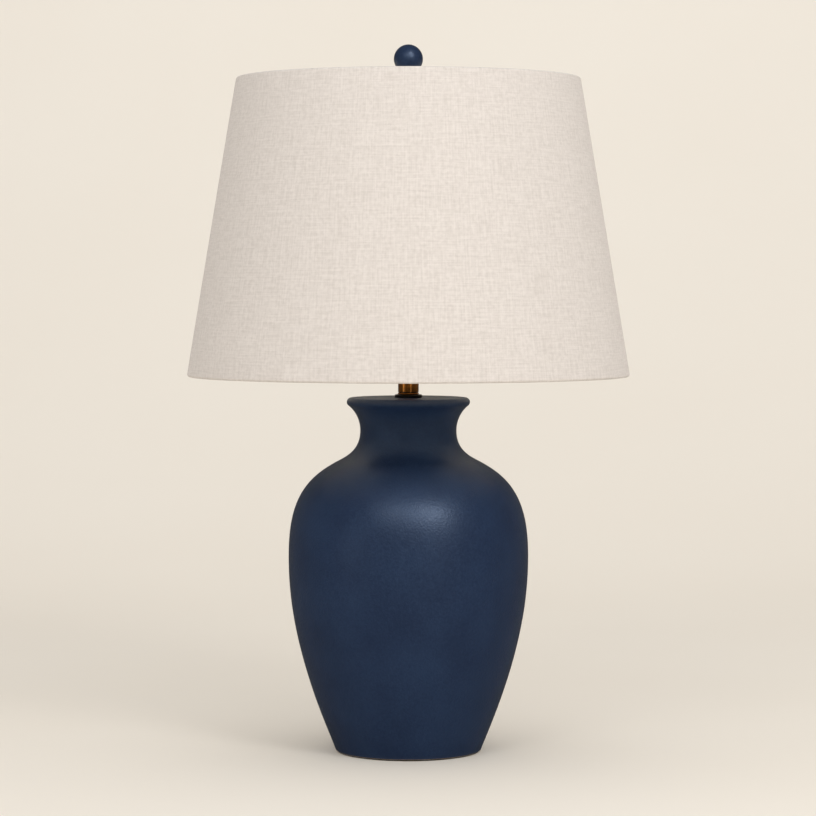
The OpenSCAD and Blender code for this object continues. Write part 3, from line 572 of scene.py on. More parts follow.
def slub_linen():
    """Woven oatmeal linen: a plain weave with thick and thin slubs along both thread directions
    and heathered flecks. Its threads are 0.6 mm apart, drawn 1.2 mm apart to show at all."""
    finish = settings().finish
    m = new_material("oatmeal slub linen", roughness=0.92, specular_ior_level=0.2, sheen_weight=0.12)
    flat = add_node(m, "UVMap", uv_map="cloth")
    pitch = 1.2 * MM
    # A wave's band repeats every pi / 10 of its scaled coordinate
    wave = {"Vector": flat, "Scale": pi / 10 / pitch, "Distortion": 1.2, "Detail": 1.0, "Detail Scale": 0.6}
    warp, weft = (add_node(m, "TexWave", wave, out="Fac", bands_direction=way) for way in "XY")
    over = add_node(m, "TexChecker", {"Vector": flat, "Scale": 1 / pitch}, out="Fac")
    weave = add_node(m, "Mix", (over, warp, weft), data_type="FLOAT")
    slubs = []
    # Slubs are 1.5 mm thick and 25 mm long, and run both ways
    for stretch in ((34, 620, 1), (620, 34, 1)):
        along = add_node(m, "Mapping", {"Vector": flat, "Scale": stretch})
        slub = {"Vector": along, "Scale": 1.0, "Detail": 2.0, "Roughness": 0.6}
        slubs.append(add_node(m, "TexNoise", slub, noise_dimensions="2D"))
    both = add_node(m, "Math", slubs, operation="ADD")
    heather = add_node(m, "TexNoise", {"Vector": flat, "Scale": 260.0, "Detail": 3.0}, noise_dimensions="2D")
    fleck = add_node(m, "Math", (both, heather), operation="ADD")
    dark = add_node(
        m, "MapRange", {"Value": fleck, "From Min": 1.15, "From Max": 1.95, "To Min": 0.0, "To Max": 0.7}
    )
    yarn = add_node(m, "Mix", (dark, finish.linen_light, finish.linen_dark), data_type="RGBA")
    gaps = add_node(
        m, "MapRange", {"Value": weave, "From Min": 0.0, "From Max": 0.5, "To Min": 0.9, "To Max": 1.0}
    )
    cloth = add_node(m, "Mix", (1.0, yarn, gaps), data_type="RGBA", blend_type="MULTIPLY")
    height = add_node(m, "Math", (weave, both), operation="ADD")
    bump = add_node(m, "Bump", {"Height": height, "Strength": 0.4, "Distance": 0.00012})
    feed(m, base_color=cloth, normal=bump)
    return m


def turned_lines(m, place, across):
    """Turning lines 0.4 mm apart, drawn out round the axis."""
    drawn_out = add_node(m, "Mapping", {"Vector": place, "Scale": (across, across, 2500)})
    return add_node(m, "TexNoise", {"Vector": drawn_out, "Scale": 1.0, "Detail": 2.0})


def antique_bronze():
    """Antique bronze plating, turned, darkened and lacquered: a warm brown metal with soft
    streaks round the piece, darker in patches."""
    finish = settings().finish
    m = new_material(
        "antique bronze plating", metallic=0.9, roughness=0.34, coat_weight=0.2, coat_roughness=0.16
    )
    place = add_node(m, "TexCoord", out="Object")
    lines = turned_lines(m, place, 40)
    patches = add_node(m, "TexNoise", {"Vector": place, "Scale": 90.0, "Detail": 3.0})
    worn = add_node(
        m, "MapRange", {"Value": patches, "From Min": 0.35, "From Max": 0.65, "To Min": 0.2, "To Max": 1.0}
    )
    metal = add_node(m, "Mix", (worn, finish.bronze_dark, finish.bronze), data_type="RGBA")
    # Patina that polishing never reaches, in the neck tube's groove, painted near black so that it also
    # stands in for the groove's shade
    recess = add_node(m, "Attribute", out="Fac", attribute_name="patina_and_shade")
    aged_and_shaded = add_node(m, "Mix", (recess, metal, linear("#1c1108")), data_type="RGBA")
    rough = add_node(m, "MapRange", {"Value": lines, **NOISE_SPAN, "To Min": 0.17, "To Max": 0.21})
    bump = add_node(m, "Bump", {"Height": lines, "Strength": 0.04, "Distance": 0.00003})
    feed(m, base_color=aged_and_shaded, roughness=rough, normal=bump)
    return m


def bare_brass():
    """Turned or stamped brass without plating: yellow metal with fine lines and dull spots."""
    m = new_material("bare brass", metallic=1.0, roughness=0.28)
    place = add_node(m, "TexCoord", out="Object")
    lines = turned_lines(m, place, 60)
    dull = add_node(m, "TexNoise", {"Vector": place, "Scale": 180.0, "Detail": 3.0})
    metal = add_node(m, "Mix", (dull, settings().finish.brass, linear("#9a7236")), data_type="RGBA")
    rough = add_node(m, "MapRange", {"Value": lines, **NOISE_SPAN, "To Min": 0.22, "To Max": 0.36})
    feed(m, base_color=metal, roughness=rough)
    return m


def mottled(name, light, dark, texture, relief=None, rough=None, **values):
    """A material of two close colours in one noise, whose settings texture holds.

    The same noise can stand out in relief, given as its strength and depth, and can vary the roughness
    between two values.
    """
    m = new_material(name, **values)
    place = add_node(m, "TexCoord", out="Object")
    grain = add_node(m, "TexNoise", {"Vector": place, **texture})
    feed(m, base_color=add_node(m, "Mix", (grain, light, dark), data_type="RGBA"))
    if relief:
        strength, depth = relief
        feed(m, normal=add_node(m, "Bump", {"Height": grain, "Strength": strength, "Distance": depth}))
    if rough:
        spread = {"Value": grain, **NOISE_SPAN, "To Min": rough[0], "To Max": rough[1]}
        feed(m, roughness=add_node(m, "MapRange", spread))
    return m


def pressed_felt():
    """Pressed wool felt: matte charcoal with a short tangled nap."""
    nap = {"Scale": 1100.0, "Detail": 5.0, "Distortion": 2.5}
    sheer = {"roughness": 1.0, "specular_ior_level": 0.1, "sheen_weight": 0.5}
    return mottled("pressed wool felt", linear("#181817"), linear("#4a4946"), nap, (0.9, 0.0005), **sheer)


def blackened_bronze():
    """Cast check ring, blackened and waxed: near black and satin, in soft brown patches."""
    patches = {"Scale": 300.0, "Detail": 4.0}
    cast = {"metallic": 0.7, "roughness": 0.42}
    return mottled("blackened bronze", linear("#0f0d0c"), linear("#241b16"), patches, (0.2, 0.0001), **cast)


def zinc_plate():
    """Bright zinc plating on steel: cool grey with a bluish passivated cloud."""
    light, dark = settings().finish.zinc, linear("#8f98a3")
    cloud = {"Scale": 140.0, "Detail": 4.0}
    return mottled("zinc plating", light, dark, cloud, rough=(0.24, 0.42), metallic=1.0, roughness=0.32)


def powder_coat():
    """White polyester powder coat on wire: satin, with a fine pebble of 0.7 mm."""
    light, dark = settings().finish.powder_coat, linear("#d8d4ca")
    pebble = {"Scale": 1400.0, "Detail": 2.0}
    satin = {"roughness": 0.45, "specular_ior_level": 0.4}
    return mottled("white powder coat", light, dark, pebble, (0.3, 0.0001), **satin)


def styrene_liner():
    """Calendered styrene sheet, laminated under the linen: warm white and faintly mottled."""
    light, dark = settings().finish.liner, linear("#e8e2d6")
    satin = {"roughness": 0.5, "specular_ior_level": 0.35}
    return mottled("styrene liner", light, dark, {"Scale": 60.0, "Detail": 4.0}, **satin)


def drawn_aluminium():
    """Drawn aluminium bulb cap: soft grey with a dull drawn sheen."""
    haze = {"Scale": 260.0, "Detail": 3.0}
    dull = {"metallic": 1.0, "roughness": 0.35}
    return mottled("plain aluminium", linear("#c9cacb"), linear("#aeb0b2"), haze, **dull)


def opal_glass():
    """Frosted bulb globe: warm white, soft gloss, and light passes a little way into it."""
    frost = {"Scale": 900.0, "Detail": 2.0}
    soft = {"roughness": 0.4, "specular_ior_level": 0.5, "transmission_weight": 0.25}
    return mottled("frosted opal globe", linear("#f6f2e9"), linear("#ece6da"), frost, **soft)


def moulded(name, light, dark, roughness, pebble_mm=0.6):
    """A moulded or pressed plain material, in a fine texture of a real grain size."""
    pebble = {"Scale": 1 / (pebble_mm * MM), "Detail": 3.0}
    plain = {"roughness": roughness, "specular_ior_level": 0.4}
    return mottled(name, linear(light), linear(dark), pebble, (0.15, 0.0001), **plain)


def shared(name, maker):
    """A material made once and used by several pieces."""
    return bpy.data.materials.get(name) or maker()


def bronze():
    return shared("antique bronze plating", antique_bronze)


def brass():
    return shared("bare brass", bare_brass)


def zinc():
    return shared("zinc plating", zinc_plate)


# Operators


class LAMP_OT_stage(Operator):
    """Set the camera, the seamless paper and the soft studio light"""

    bl_idname = "lamp.stage"
    bl_label = "Stage"

    def execute(self, context):
        studio = settings().studio
        bpy.ops.object.camera_add(
            location=(-studio.aside, -studio.distance, studio.height), rotation=(pi / 2 - studio.pitch, 0, 0)
        )
        camera = context.object
        camera.data.sensor_width = 36
        camera.data.lens = studio.lens
        camera.data.clip_end = 50
        context.scene.camera = camera
        context.scene.view_settings.view_transform = "Standard"
        self.sweep(studio)
        self.lights(studio)
        self.surroundings(studio)
        return {"FINISHED"}

    def sweep(self, studio):
        """Paper on the floor that curves up into a wall behind the lamp."""
        wall_h, curve = 6, 2.8
        bpy.ops.mesh.primitive_plane_add(size=9, location=(0, -0.2, 0))
        paper = apply_place()
        paper.name = "seamless_paper"
        edit(paper)
        select_edges(paper, lambda co: co.y > 2)
        bpy.ops.mesh.extrude_region_move(TRANSFORM_OT_translate={"value": (0, 0, wall_h)})
        select_edges(paper, lambda co: co.y > 2 and co.z < 0.1)
        bpy.ops.mesh.bevel(offset=curve, offset_type="OFFSET", segments=48, affect="EDGES")
        leave_edit()
        bpy.ops.object.shade_smooth()
        paper.data.materials.append(self.paper_finish(studio))

    def lights(self, studio):
        """Softboxes, and cards that only glossy finishes show."""
        body, neck = (0, 0, 0.45), (0, 0, 0.37)
        for name, power, size, place, aim, shown_by in (
            ("key", studio.key, (0.8, 0.8), (1.25, -2.1, 1.8), body, "all"),
            ("front", studio.front * 0.38, (1.2, 0.8), (0.3, -2.5, 2.0), body, "all"),
            ("front_left", studio.front * 0.62, (1.0, 0.8), (-0.8, -2.3, 2.0), body, "all"),
            ("left", studio.left, (1.1, 1.3), (-1.9, -1.9, 0.75), body, "all"),
            ("low_left", studio.low, (0.5, 0.35), (-2.2, -1.45, 0.28), neck, "glossy"),
            ("low_right", studio.low * 0.7, (0.35, 0.35), (1.2, -2.3, 0.28), neck, "glossy"),
            ("background", studio.back, (4.0, 1.0), (0.3, 2.2, 3.2), (0.2, 4.4, 1.0), "matte"),
            ("glint", studio.glint, (0.6, 0.6), (1.0, -2.2, 3.3), (0, 0, 0.7), "glossy"),
            ("sheen", studio.sheen, (1.4, 0.7), (0.7, -2.25, 2.0), body, "glossy"),
        ):
            way = Vector(aim) - Vector(place)
            bpy.ops.object.light_add(
                type="AREA", location=place, rotation=way.to_track_quat("-Z", "Y").to_euler()
            )
            lamp = bpy.context.object
            lamp.name = name + "_light"
            lamp.data.shape = "RECTANGLE"
            lamp.data.size, lamp.data.size_y = size
            lamp.data.energy = power
            lamp.visible_glossy = shown_by != "matte"
            lamp.visible_diffuse = shown_by != "glossy"

    def surroundings(self, studio):
        """Even light from all round, which glossy finishes mirror only in part."""
        world = bpy.data.worlds.new("studio surroundings")
        bpy.context.scene.world = world
        world.use_nodes = True
        ray = add_node(world, "LightPath", out="Is Glossy Ray")
        strength = add_node(world, "Mix", (ray, studio.sky, studio.sky * studio.mirrored), data_type="FLOAT")
        light = world.node_tree.nodes["Background"]
        light.inputs["Color"].default_value = (1, 1, 1, 1)
        world.node_tree.links.new(strength, light.inputs["Strength"])

    def paper_finish(self, studio):
        """Matte seamless paper with a soft tooth, painted darker where glossy finishes mirror it."""
        m = new_material("seamless paper", roughness=0.95, specular_ior_level=0.1)
        place = add_node(m, "TexCoord", out="Object")
        tooth = add_node(m, "TexNoise", {"Vector": place, "Scale": 2.0, "Detail": 2.0})
        tone = add_node(m, "Mix", (tooth, studio.paper, linear("#f0e8dc")), data_type="RGBA")
        # Glossy rays see the paper dimmed by the mirrored share: a painted darkening of its reflections, in
        # place of black flags
        ray = add_node(m, "LightPath", out="Is Glossy Ray")
        dim = [c * studio.mirrored for c in studio.paper[:3]] + [1.0]
        feed(m, base_color=add_node(m, "Mix", (ray, tone, dim), data_type="RGBA"))
        return m


class LAMP_OT_vase(Operator):
    """Turn the cast vase, open it for the pipe and the cord, and glaze it"""

    bl_idname = "lamp.vase"
    bl_label = "Vase"

    def outline(self, v):
        """The outer wall from the foot's edge to the start of the lip, and the whole outer outline."""
        foot = Vector((v.foot_d / 2, v.foot_round * (1 - sin(v.foot_lean))))
        belly = Vector((vase_r, v.belly_rise))
        shoulder = belly + Vector((v.shoulder_d / 2 - vase_r, v.shoulder_rise))
        neck = Vector((v.neck_d / 2, shoulder.y + v.neck_rise))
        top = vase_top - vase_foot
        lip = Vector((v.lip_d / 2 - v.lip_round, top - v.lip_round))
        lip_start = lip + v.lip_round * Vector((cos(v.lip_lean), -sin(v.lip_lean)))
        upright, back = leaning(0), leaning(-v.shoulder_lean)
        side = joined(
            curve_points(foot, leaning(v.foot_lean), belly, upright, pulls=(0.165, 0.455), steps=46),
            curve_points(belly, upright, shoulder, back, pulls=(0.587, 0.37), steps=34),
            curve_points(shoulder, back, neck, upright, pulls=(0.348, 0.654), steps=22),
            curve_points(neck, upright, lip_start, leaning(v.lip_lean), pulls=(0.619, 0.078), steps=22),
        )
        heel = Vector((foot.x - v.foot_round * cos(v.foot_lean), v.foot_round))
        outer = joined(
            arc_points(heel, v.foot_round, -pi / 2, -v.foot_lean, 6),
            side,
            arc_points(lip, v.lip_round, -v.lip_lean, pi / 2, 14),
        )
        return side, outer, top

    def execute(self, context):
        v = settings().vase
        side, outer, top = self.outline(v)
        hole = v.pipe_hole_d / 2
        floor_top, deck_under = v.recess_h + v.deck, top - v.deck
        inside = [p for p in beside(side, v.wall) if floor_top + MM < p.y < deck_under - MM]
        inside = points((inside[0].x, floor_top), *inside, (inside[-1].x, deck_under))
        recess_r = v.foot_d / 2 - v.rim
        recess_top = recess_r - v.recess_h * tan(v.recess_draft)
        chamfer = 2 * MM
        under = points(
            (hole, floor_top),
            (hole, v.recess_h),
            (recess_top - chamfer, v.recess_h),
            (recess_top, v.recess_h - chamfer),
            (recess_r, 0),
        )
        deck = points((hole, top), (hole, deck_under))
        line = [p + Vector((0, vase_foot)) for p in outer + deck + inside[::-1] + under]
        vase = turn("vase_glazed", line, 192)
        # A rod along +Y, where the grommet sits
        place = (0, v.foot_d / 2, vase_foot + v.outlet_rise)
        combine(vase, add_rod(v.outlet_d / 2, v.foot_d / 2, place, 48, turned=(pi / 2, 0, 0)))
        self.wander(vase, v, top)
        self.mark_edges(vase, v)
        vase.data.materials.append(glazed_stoneware())
        vase.data.materials.append(bare_stoneware())
        mouth = recess_r + 0.5 * MM
        for face in vase.data.polygons:
            c = face.center
            r, z = hypot(c.x, c.y), c.z - vase_foot
            inner_r = self.inner_radius(inside, z)
            hidden = r < inner_r + 0.5 * MM and floor_top - MM < z < deck_under + MM
            foot = z < 0.35 * MM or (z < v.recess_h + MM and r < mouth)
            face.material_index = 1 if hidden or foot or (r < hole + MM and z < top - MM) else 0
        smooth(vase, 40)
        fit(vase, None, "base", "navy_glaze", "vase")
        return {"FINISHED"}

    def inner_radius(self, inside, z):
        """The hollow's radius at a height, or nothing above and below the hollow."""
        for a, b in zip(inside, inside[1:]):
            if a.y <= z <= b.y:
                return a.x + (b.x - a.x) * (z - a.y) / max(b.y - a.y, 1e-9)
        return 0

    def wander(self, vase, v, top):
        """Slip casting and sponging leave the wall faintly uneven; foot, lip and holes stay true."""
        low, high = 25 * MM, top - 8 * MM

        def gap(co, r):
            rise = co.z - vase_foot
            if r < v.neck_d / 2 - MM or not low < rise < high:
                return 0
            calm = min(1.0, (rise - low) / (30 * MM), (high - rise) / (15 * MM))
            return v.unevenness * calm * (noise.noise(co * 17) + 0.4 * noise.noise(co * 46))

        push_out(vase, gap)

    def mark_edges(self, vase, v):
        """Marks how near each point is to the lip's or the foot's edge, where glaze runs thin."""
        lip_z = vase_top - v.lip_round * 0.6
        lip_reach, foot_reach = 3.4 * MM, 2.2 * MM

        def thin(co, r):
            lip = max(0.0, 1 - hypot(r - v.lip_d / 2 + 0.4 * MM, co.z - lip_z) / lip_reach)
            foot = max(0.0, 1 - (co.z - vase_foot) / foot_reach) if r > v.foot_d / 2 - 2 * MM else 0.0
            return 0.75 * max(lip, 0.7 * foot)

        mark_points(vase, "edge", thin)


class LAMP_OT_foot(Operator):
    """Lay the felt ring, and finish the grommet, the threaded pipe and the fixings under the floor"""

    bl_idname = "lamp.foot"
    bl_label = "Foot and fixings"

    def execute(self, context):
        self.felt(settings().vase)
        rubber = moulded("moulded rubber", "#232323", "#161616", 0.6, 0.4)
        finish_copy("cord_grommet", "grommet", 0.3 * MM, rubber, "base", "grommet")

        bore, chamfer, threaded = 3.2 * MM, 0.4 * MM, 12 * MM
        line = (
            points((bore, pipe_foot), (pipe_r - chamfer, pipe_foot))
            + wall_points(pipe_r, pipe_foot + chamfer, threaded, 96)
            + points((pipe_r, pipe_top - chamfer), (pipe_r - chamfer, pipe_top), (bore, pipe_top))
        )
        pipe = turn("pipe_threaded", line, 64)
        high = pipe_foot + threaded
        thread_ripple(pipe, pipe_foot, high, pipe_r, pipe_r, 0.1 * MM, PIPE_PITCH, 0.4 * MM)
        smooth(pipe, 50)
        fit(pipe, zinc(), "base", "zinc_steel", "lamp_pipe")

        for node, name in (
            ("base_washer", "washer_finished"),
            ("lock_washer", "lock_washer_finished"),
            ("base_nut", "nut_finished"),
        ):
            finish_copy(node, name, 0.25 * MM, zinc(), "base", "zinc_steel")
        return {"FINISHED"}

    def felt(self, v):
        """A felt ring with soft edges and a faintly frayed side."""
        inner = v.foot_d / 2 - v.rim + MM
        soft, fuzz = 0.35 * MM, 0.12 * MM
        line = []
        for r, z, start, end in (
            (felt_r - soft, felt_foot + soft, -pi / 2, 0),
            (felt_r - soft, felt_top - soft, 0, pi / 2),
            (inner + soft, felt_top - soft, pi / 2, pi),
            (inner + soft, felt_foot + soft, pi, 3 * pi / 2),
        ):
            line += arc_points(Vector((r, z)), soft, start, end, 3)
        felt = turn("felt_pad", line, 256)

        def gap(co, r):
            side = felt_foot + 0.1 * MM < co.z < felt_top - 0.1 * MM
            return fuzz * noise.noise(co * 420) if side else 0

        push_out(felt, gap)
        smooth(felt, 60)
        fit(felt, pressed_felt(), "base", "felt", "felt_ring")


class LAMP_OT_neck(Operator):
    """Finish the check ring, and turn the bronze neck tube with its bead and groove"""

    bl_idname = "lamp.neck"
    bl_label = "Neck tube"

    def execute(self, context):
        black = blackened_bronze()
        finish_copy("check_ring", "check_ring_finished", 0.2 * MM, black, "base", "check_ring")
        low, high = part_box("neck_tube")
        wall, bead, bead_h, groove, groove_h, soft = (w * MM for w in (1.2, 0.25, 1.8, 0.5, 0.8, 0.12))
        foot, top = low.z, high.z
        r = high.x - bead
        shelf = foot + bead_h + groove_h
        line = (
            points((r - wall, foot))
            + arc_points(Vector((r + bead - bead_h / 2, foot + bead_h / 2)), bead_h / 2, -pi / 2, pi / 2, 14)
            + points((r - groove, foot + bead_h), (r - groove, shelf))
            + arc_points(Vector((r - soft, shelf + soft)), soft, -pi / 2, 0, 4)
            # Rings beside the rounded edges keep the long wall's shading straight
            + points((r, shelf + 3 * soft), (r, top - 3 * soft))
            + arc_points(Vector((r - soft, top - soft)), soft, 0, pi / 2, 4)
            + points((r - wall, top), (r - wall, top - MM), (r - wall, foot + MM))
        )
        tube = turn("neck_tube_turned", line)

        # The groove and the shelf under the bead are painted near black: patina, and painted shade in the
        # groove
        def patina_and_shade(co, radius):
            return 1.0 if radius < r - 0.5 * soft and co.z - foot < bead_h + groove_h + soft else 0.0

        mark_points(tube, "patina_and_shade", patina_and_shade)
        smooth(tube)
        fit(tube, bronze(), "base", "bronze_brass", "neck_tube")
        return {"FINISHED"}


class LAMP_OT_socket(Operator):
    """Finish the saddle, the ferrules, the turn-key socket and its inner pieces"""

    bl_idname = "lamp.socket"
    bl_label = "Socket"

    def execute(self, context):
        for node, name, width, body, slot in (
            ("harp_saddle", "saddle_finished", 0.25, "base", "bronze_steel"),
            ("socket_cap", "socket_cap_finished", 0.2, "base", "bronze_brass"),
            ("socket_shell", "socket_shell_finished", 0.12, "base", "bronze_brass"),
            ("ferrule_left", "ferrule_left_finished", 0.12, "ferrule_left", "bronze_brass"),
            ("ferrule_right", "ferrule_right_finished", 0.12, "ferrule_right", "bronze_brass"),
        ):
            finish_copy(node, name, width * MM, bronze(), body, slot)
        finish_copy("set_screw", "set_screw_finished", 0.2 * MM, zinc(), "base", "zinc_steel")

        height = screw_top - screw_foot
        floor_t, wall, hole, rows = 0.4 * MM, 0.4 * MM, 5.5 * MM, 60
        inner = screw_r - wall
        line = (
            points((hole, screw_foot))
            + wall_points(screw_r, screw_foot, height, rows)
            + wall_points(inner, screw_foot + floor_t, height - floor_t, rows)[::-1]
            + points((hole, screw_foot + floor_t))
        )
        shell = turn("screw_shell_threaded", line, 96)
        low, high = screw_foot + 2 * MM, screw_top - 0.5 * MM
        thread_ripple(shell, low, high, inner, screw_r, 0.05 * MM, CAP_PITCH, 0.55 * MM, way=-1)
        smooth(shell, 60)
        fit(shell, brass(), "base", "bare_brass", "screw_shell")

        dress(brass(), "centre_contact", "terminal_screws")
        dress(moulded("moulded phenolic", "#33221a", "#1f140f", 0.5), "socket_core")
        dress(moulded("vulcanised fibre", "#a08a68", "#83704f", 0.8, 1.2), "socket_liner")
        return {"FINISHED"}


class LAMP_OT_switch(Operator):
    """Finish the switch's shaft and its fluted key"""

    bl_idname = "lamp.switch"
    bl_label = "Switch key"

    def execute(self, context):
        black = moulded("moulded black key", "#211c19", "#141110", 0.35)
        finish_copy("switch_key", "switch_key_finished", 0.18 * MM, black, "switch", "switch_key")
        dress(zinc(), "switch_shaft")
        return {"FINISHED"}


class LAMP_OT_bulb(Operator):
    """Turn the bulb's threaded cap, its body and its frosted globe"""

    bl_idname = "lamp.bulb"
    bl_label = "Bulb"

    def execute(self, context):
        rim = 1.5 * MM
        line = (
            points((0, cap_foot), (cap_r - rim, cap_foot))
            + wall_points(cap_r, cap_foot + rim, cap_top - cap_foot - rim, 70)
            + points((0, cap_top))
        )
        cap = turn("bulb_cap_threaded", line, 96)
        low, high = cap_foot + rim, cap_top - 3 * MM
        thread_ripple(cap, low, high, cap_r, cap_r, 0.1 * MM, CAP_PITCH, 0.75 * MM)
        smooth(cap, 60)
        fit(cap, drawn_aluminium(), "bulb", "bulb_cap", "bulb_cap")

        foot, edge = points((13.8 * MM, body_foot), (body_r, body_top))
        inner, sunk = edge - Vector((1.6 * MM, 0)), 0.8 * MM
        line = (
            points((0, body_foot))
            + curve_points(foot, leaning(0), edge, leaning(radians(20)), pulls=(0.55, 0.45), steps=24)
            + points(inner, inner - Vector((0, sunk)), (0, body_top - sunk))
        )
        body = turn("bulb_body_moulded", line, 96)
        round_edges(body, 0.25 * MM)
        smooth(body)
        fit(body, moulded("white moulding", "#efece5", "#e4e0d7", 0.45), "bulb", "bulb_body", "bulb_body")

        middle = Vector((0, globe_top - globe_r))
        low = -acos(body_r / globe_r)
        glass = 1.4 * MM
        line = (
            points((body_r, globe_foot))
            + arc_points(middle, globe_r, low, pi / 2, 40)
            + arc_points(middle, globe_r - glass, pi / 2, low, 40)
            + points((body_r - glass, globe_foot))
        )
        globe = turn("bulb_globe_frosted", line, 96)
        smooth(globe, 60)
        fit(globe, opal_glass(), "bulb", "bulb_globe", "bulb_globe")

        dress(brass(), "bulb_contact")
        dress(moulded("black glass", "#15120f", "#0d0b0a", 0.15, 2), "bulb_insulator")
        return {"FINISHED"}


class LAMP_OT_harp(Operator):
    """Bend the harp's wire, flatten its ends and its eye, and turn the swivel stud"""

    bl_idname = "lamp.harp"
    bl_label = "Harp"

    def wire_line(self, h):
        """One side of the harp: leg, two bends, long side, upper corner and half the crown."""
        low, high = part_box("harp")
        foot = low.z + h.end_h
        crown = high.z - h.wire / 2
        leg_top = foot + h.leg_h
        turn_by = acos(1 - (h.half - h.leg_half) / (h.bend_out + h.bend_back))
        side_z = leg_top + (h.bend_out + h.bend_back) * sin(turn_by)
        side_in, side_up = h.half - h.crown_half, crown - h.bend_top - side_z
        side_r = (side_in**2 + side_up**2 - h.bend_top**2) / (2 * (side_in - h.bend_top))
        side_turn = asin(side_up / (side_r - h.bend_top))
        crown_end = 7.4 * MM
        return foot, crown, joined(
            points((h.leg_half, foot), (h.leg_half, foot + h.leg_h / 2)),
            points((h.leg_half, foot + h.leg_h / 2), (h.leg_half, leg_top)),
            arc_points(Vector((h.leg_half + h.bend_out, leg_top)), h.bend_out, pi, pi - turn_by, 12),
            arc_points(Vector((h.half - h.bend_back, side_z)), h.bend_back, -turn_by, 0, 14),
            arc_points(Vector((h.half - side_r, side_z)), side_r, 0, side_turn, 14),
            arc_points(Vector((h.crown_half, crown - h.bend_top)), h.bend_top, side_turn, pi / 2, 22),
            points((h.crown_half, crown), (crown_end, crown)),
        )

    def execute(self, context):
        h = settings().harp
        foot, crown, line = self.wire_line(h)
        halves = [(self.wire(h, side, line), self.blade(h, side, foot)) for side in (1, -1)]
        eye = add_rod(h.eye_d / 2, h.eye_t, (0, 0, crown), 64)
        eye.name = eye.data.name = "harp_bent"
        round_edges(eye, 0.5 * MM, segments=3)
        drill = add_rod(h.pin_hole_d / 2, 4 * h.eye_t, (0, 0, crown), 48)
        for wire, blade in halves:
            combine(eye, wire, "UNION")
            combine(eye, blade, "UNION")
        combine(eye, drill)
        smooth(eye, 40)
        fit(eye, bronze(), "harp", "bronze_steel", "harp")
        self.stud()
        return {"FINISHED"}

    def wire(self, h, side, line):
        """The bent wire on one side."""
        draw_line("harp_wire", [Vector((side * p.x, p.y)) for p in line])
        bpy.ops.object.convert(target="CURVE")
        curve = bpy.context.object.data
        curve.bevel_depth = h.wire / 2
        curve.bevel_resolution = 6
        curve.use_fill_caps = True
        bpy.ops.object.convert(target="MESH")
        return bpy.context.object

    def blade(self, h, side, foot):
        """The wire's flattened end, which stands beside the saddle's tab."""
        overlap = 2.4 * MM
        x = h.leg_half - h.end_gap / 2 - h.end_t + h.end_t / 2
        bpy.ops.mesh.primitive_cube_add(
            size=1,
            location=(side * x, 0, foot - h.end_h / 2 + overlap / 2),
            scale=(h.end_t, h.end_w, h.end_h + overlap),
        )
        blade = apply_place()
        round_edges(blade, 0.35 * MM)
        return blade

    def stud(self):
        """A rivet head under the eye, its pin, a flange that the shade sits on, and the bolt."""
        head_r, pin_r, flange_r, bolt_r = 3.7 * MM, 2.1 * MM, 7 * MM, 6.35 / 2 * MM
        flange_t, edge = 2 * MM, 0.3 * MM
        seat = stud_top - 12 * MM
        head_top = seat - 5.1 * MM
        line = (
            points(
                (0, stud_foot),
                (head_r - 0.7 * MM, stud_foot),
                (head_r, stud_foot + 0.7 * MM),
                (head_r, head_top),
                (pin_r, head_top),
                (pin_r, seat - flange_t),
                (flange_r - edge, seat - flange_t),
                (flange_r, seat - flange_t + edge),
                (flange_r, seat - edge),
                (flange_r - edge, seat),
            )
            + wall_points(bolt_r, seat, stud_top - 0.5 * MM - seat, 96)
            + points((bolt_r - 0.5 * MM, stud_top), (0, stud_top))
        )
        stud = turn("stud_threaded", line, 64)
        low = seat + 0.2 * MM
        thread_ripple(stud, low, stud_top, bolt_r, bolt_r, 0.05 * MM, PIPE_PITCH, 0.38 * MM)
        smooth(stud, 50)
        fit(stud, brass(), "stud", "bare_brass", "swivel_stud")


class LAMP_OT_shade_frame(Operator):
    """Coat the shade's wire frame and its liner"""

    bl_idname = "lamp.shade_frame"
    bl_label = "Shade frame"

    def execute(self, context):
        coat = powder_coat()
        spider = copy_solid("shade_spider", "spider_coated")
        round_edges(spider, 0.2 * MM, sharper_than=50)
        smooth(spider, 40)
        fit(spider, coat, "shade", "frame_wire", "shade_spider")
        dress(coat, "shade_bottom_ring")
        dress(styrene_liner(), "shade_backing")
        return {"FINISHED"}


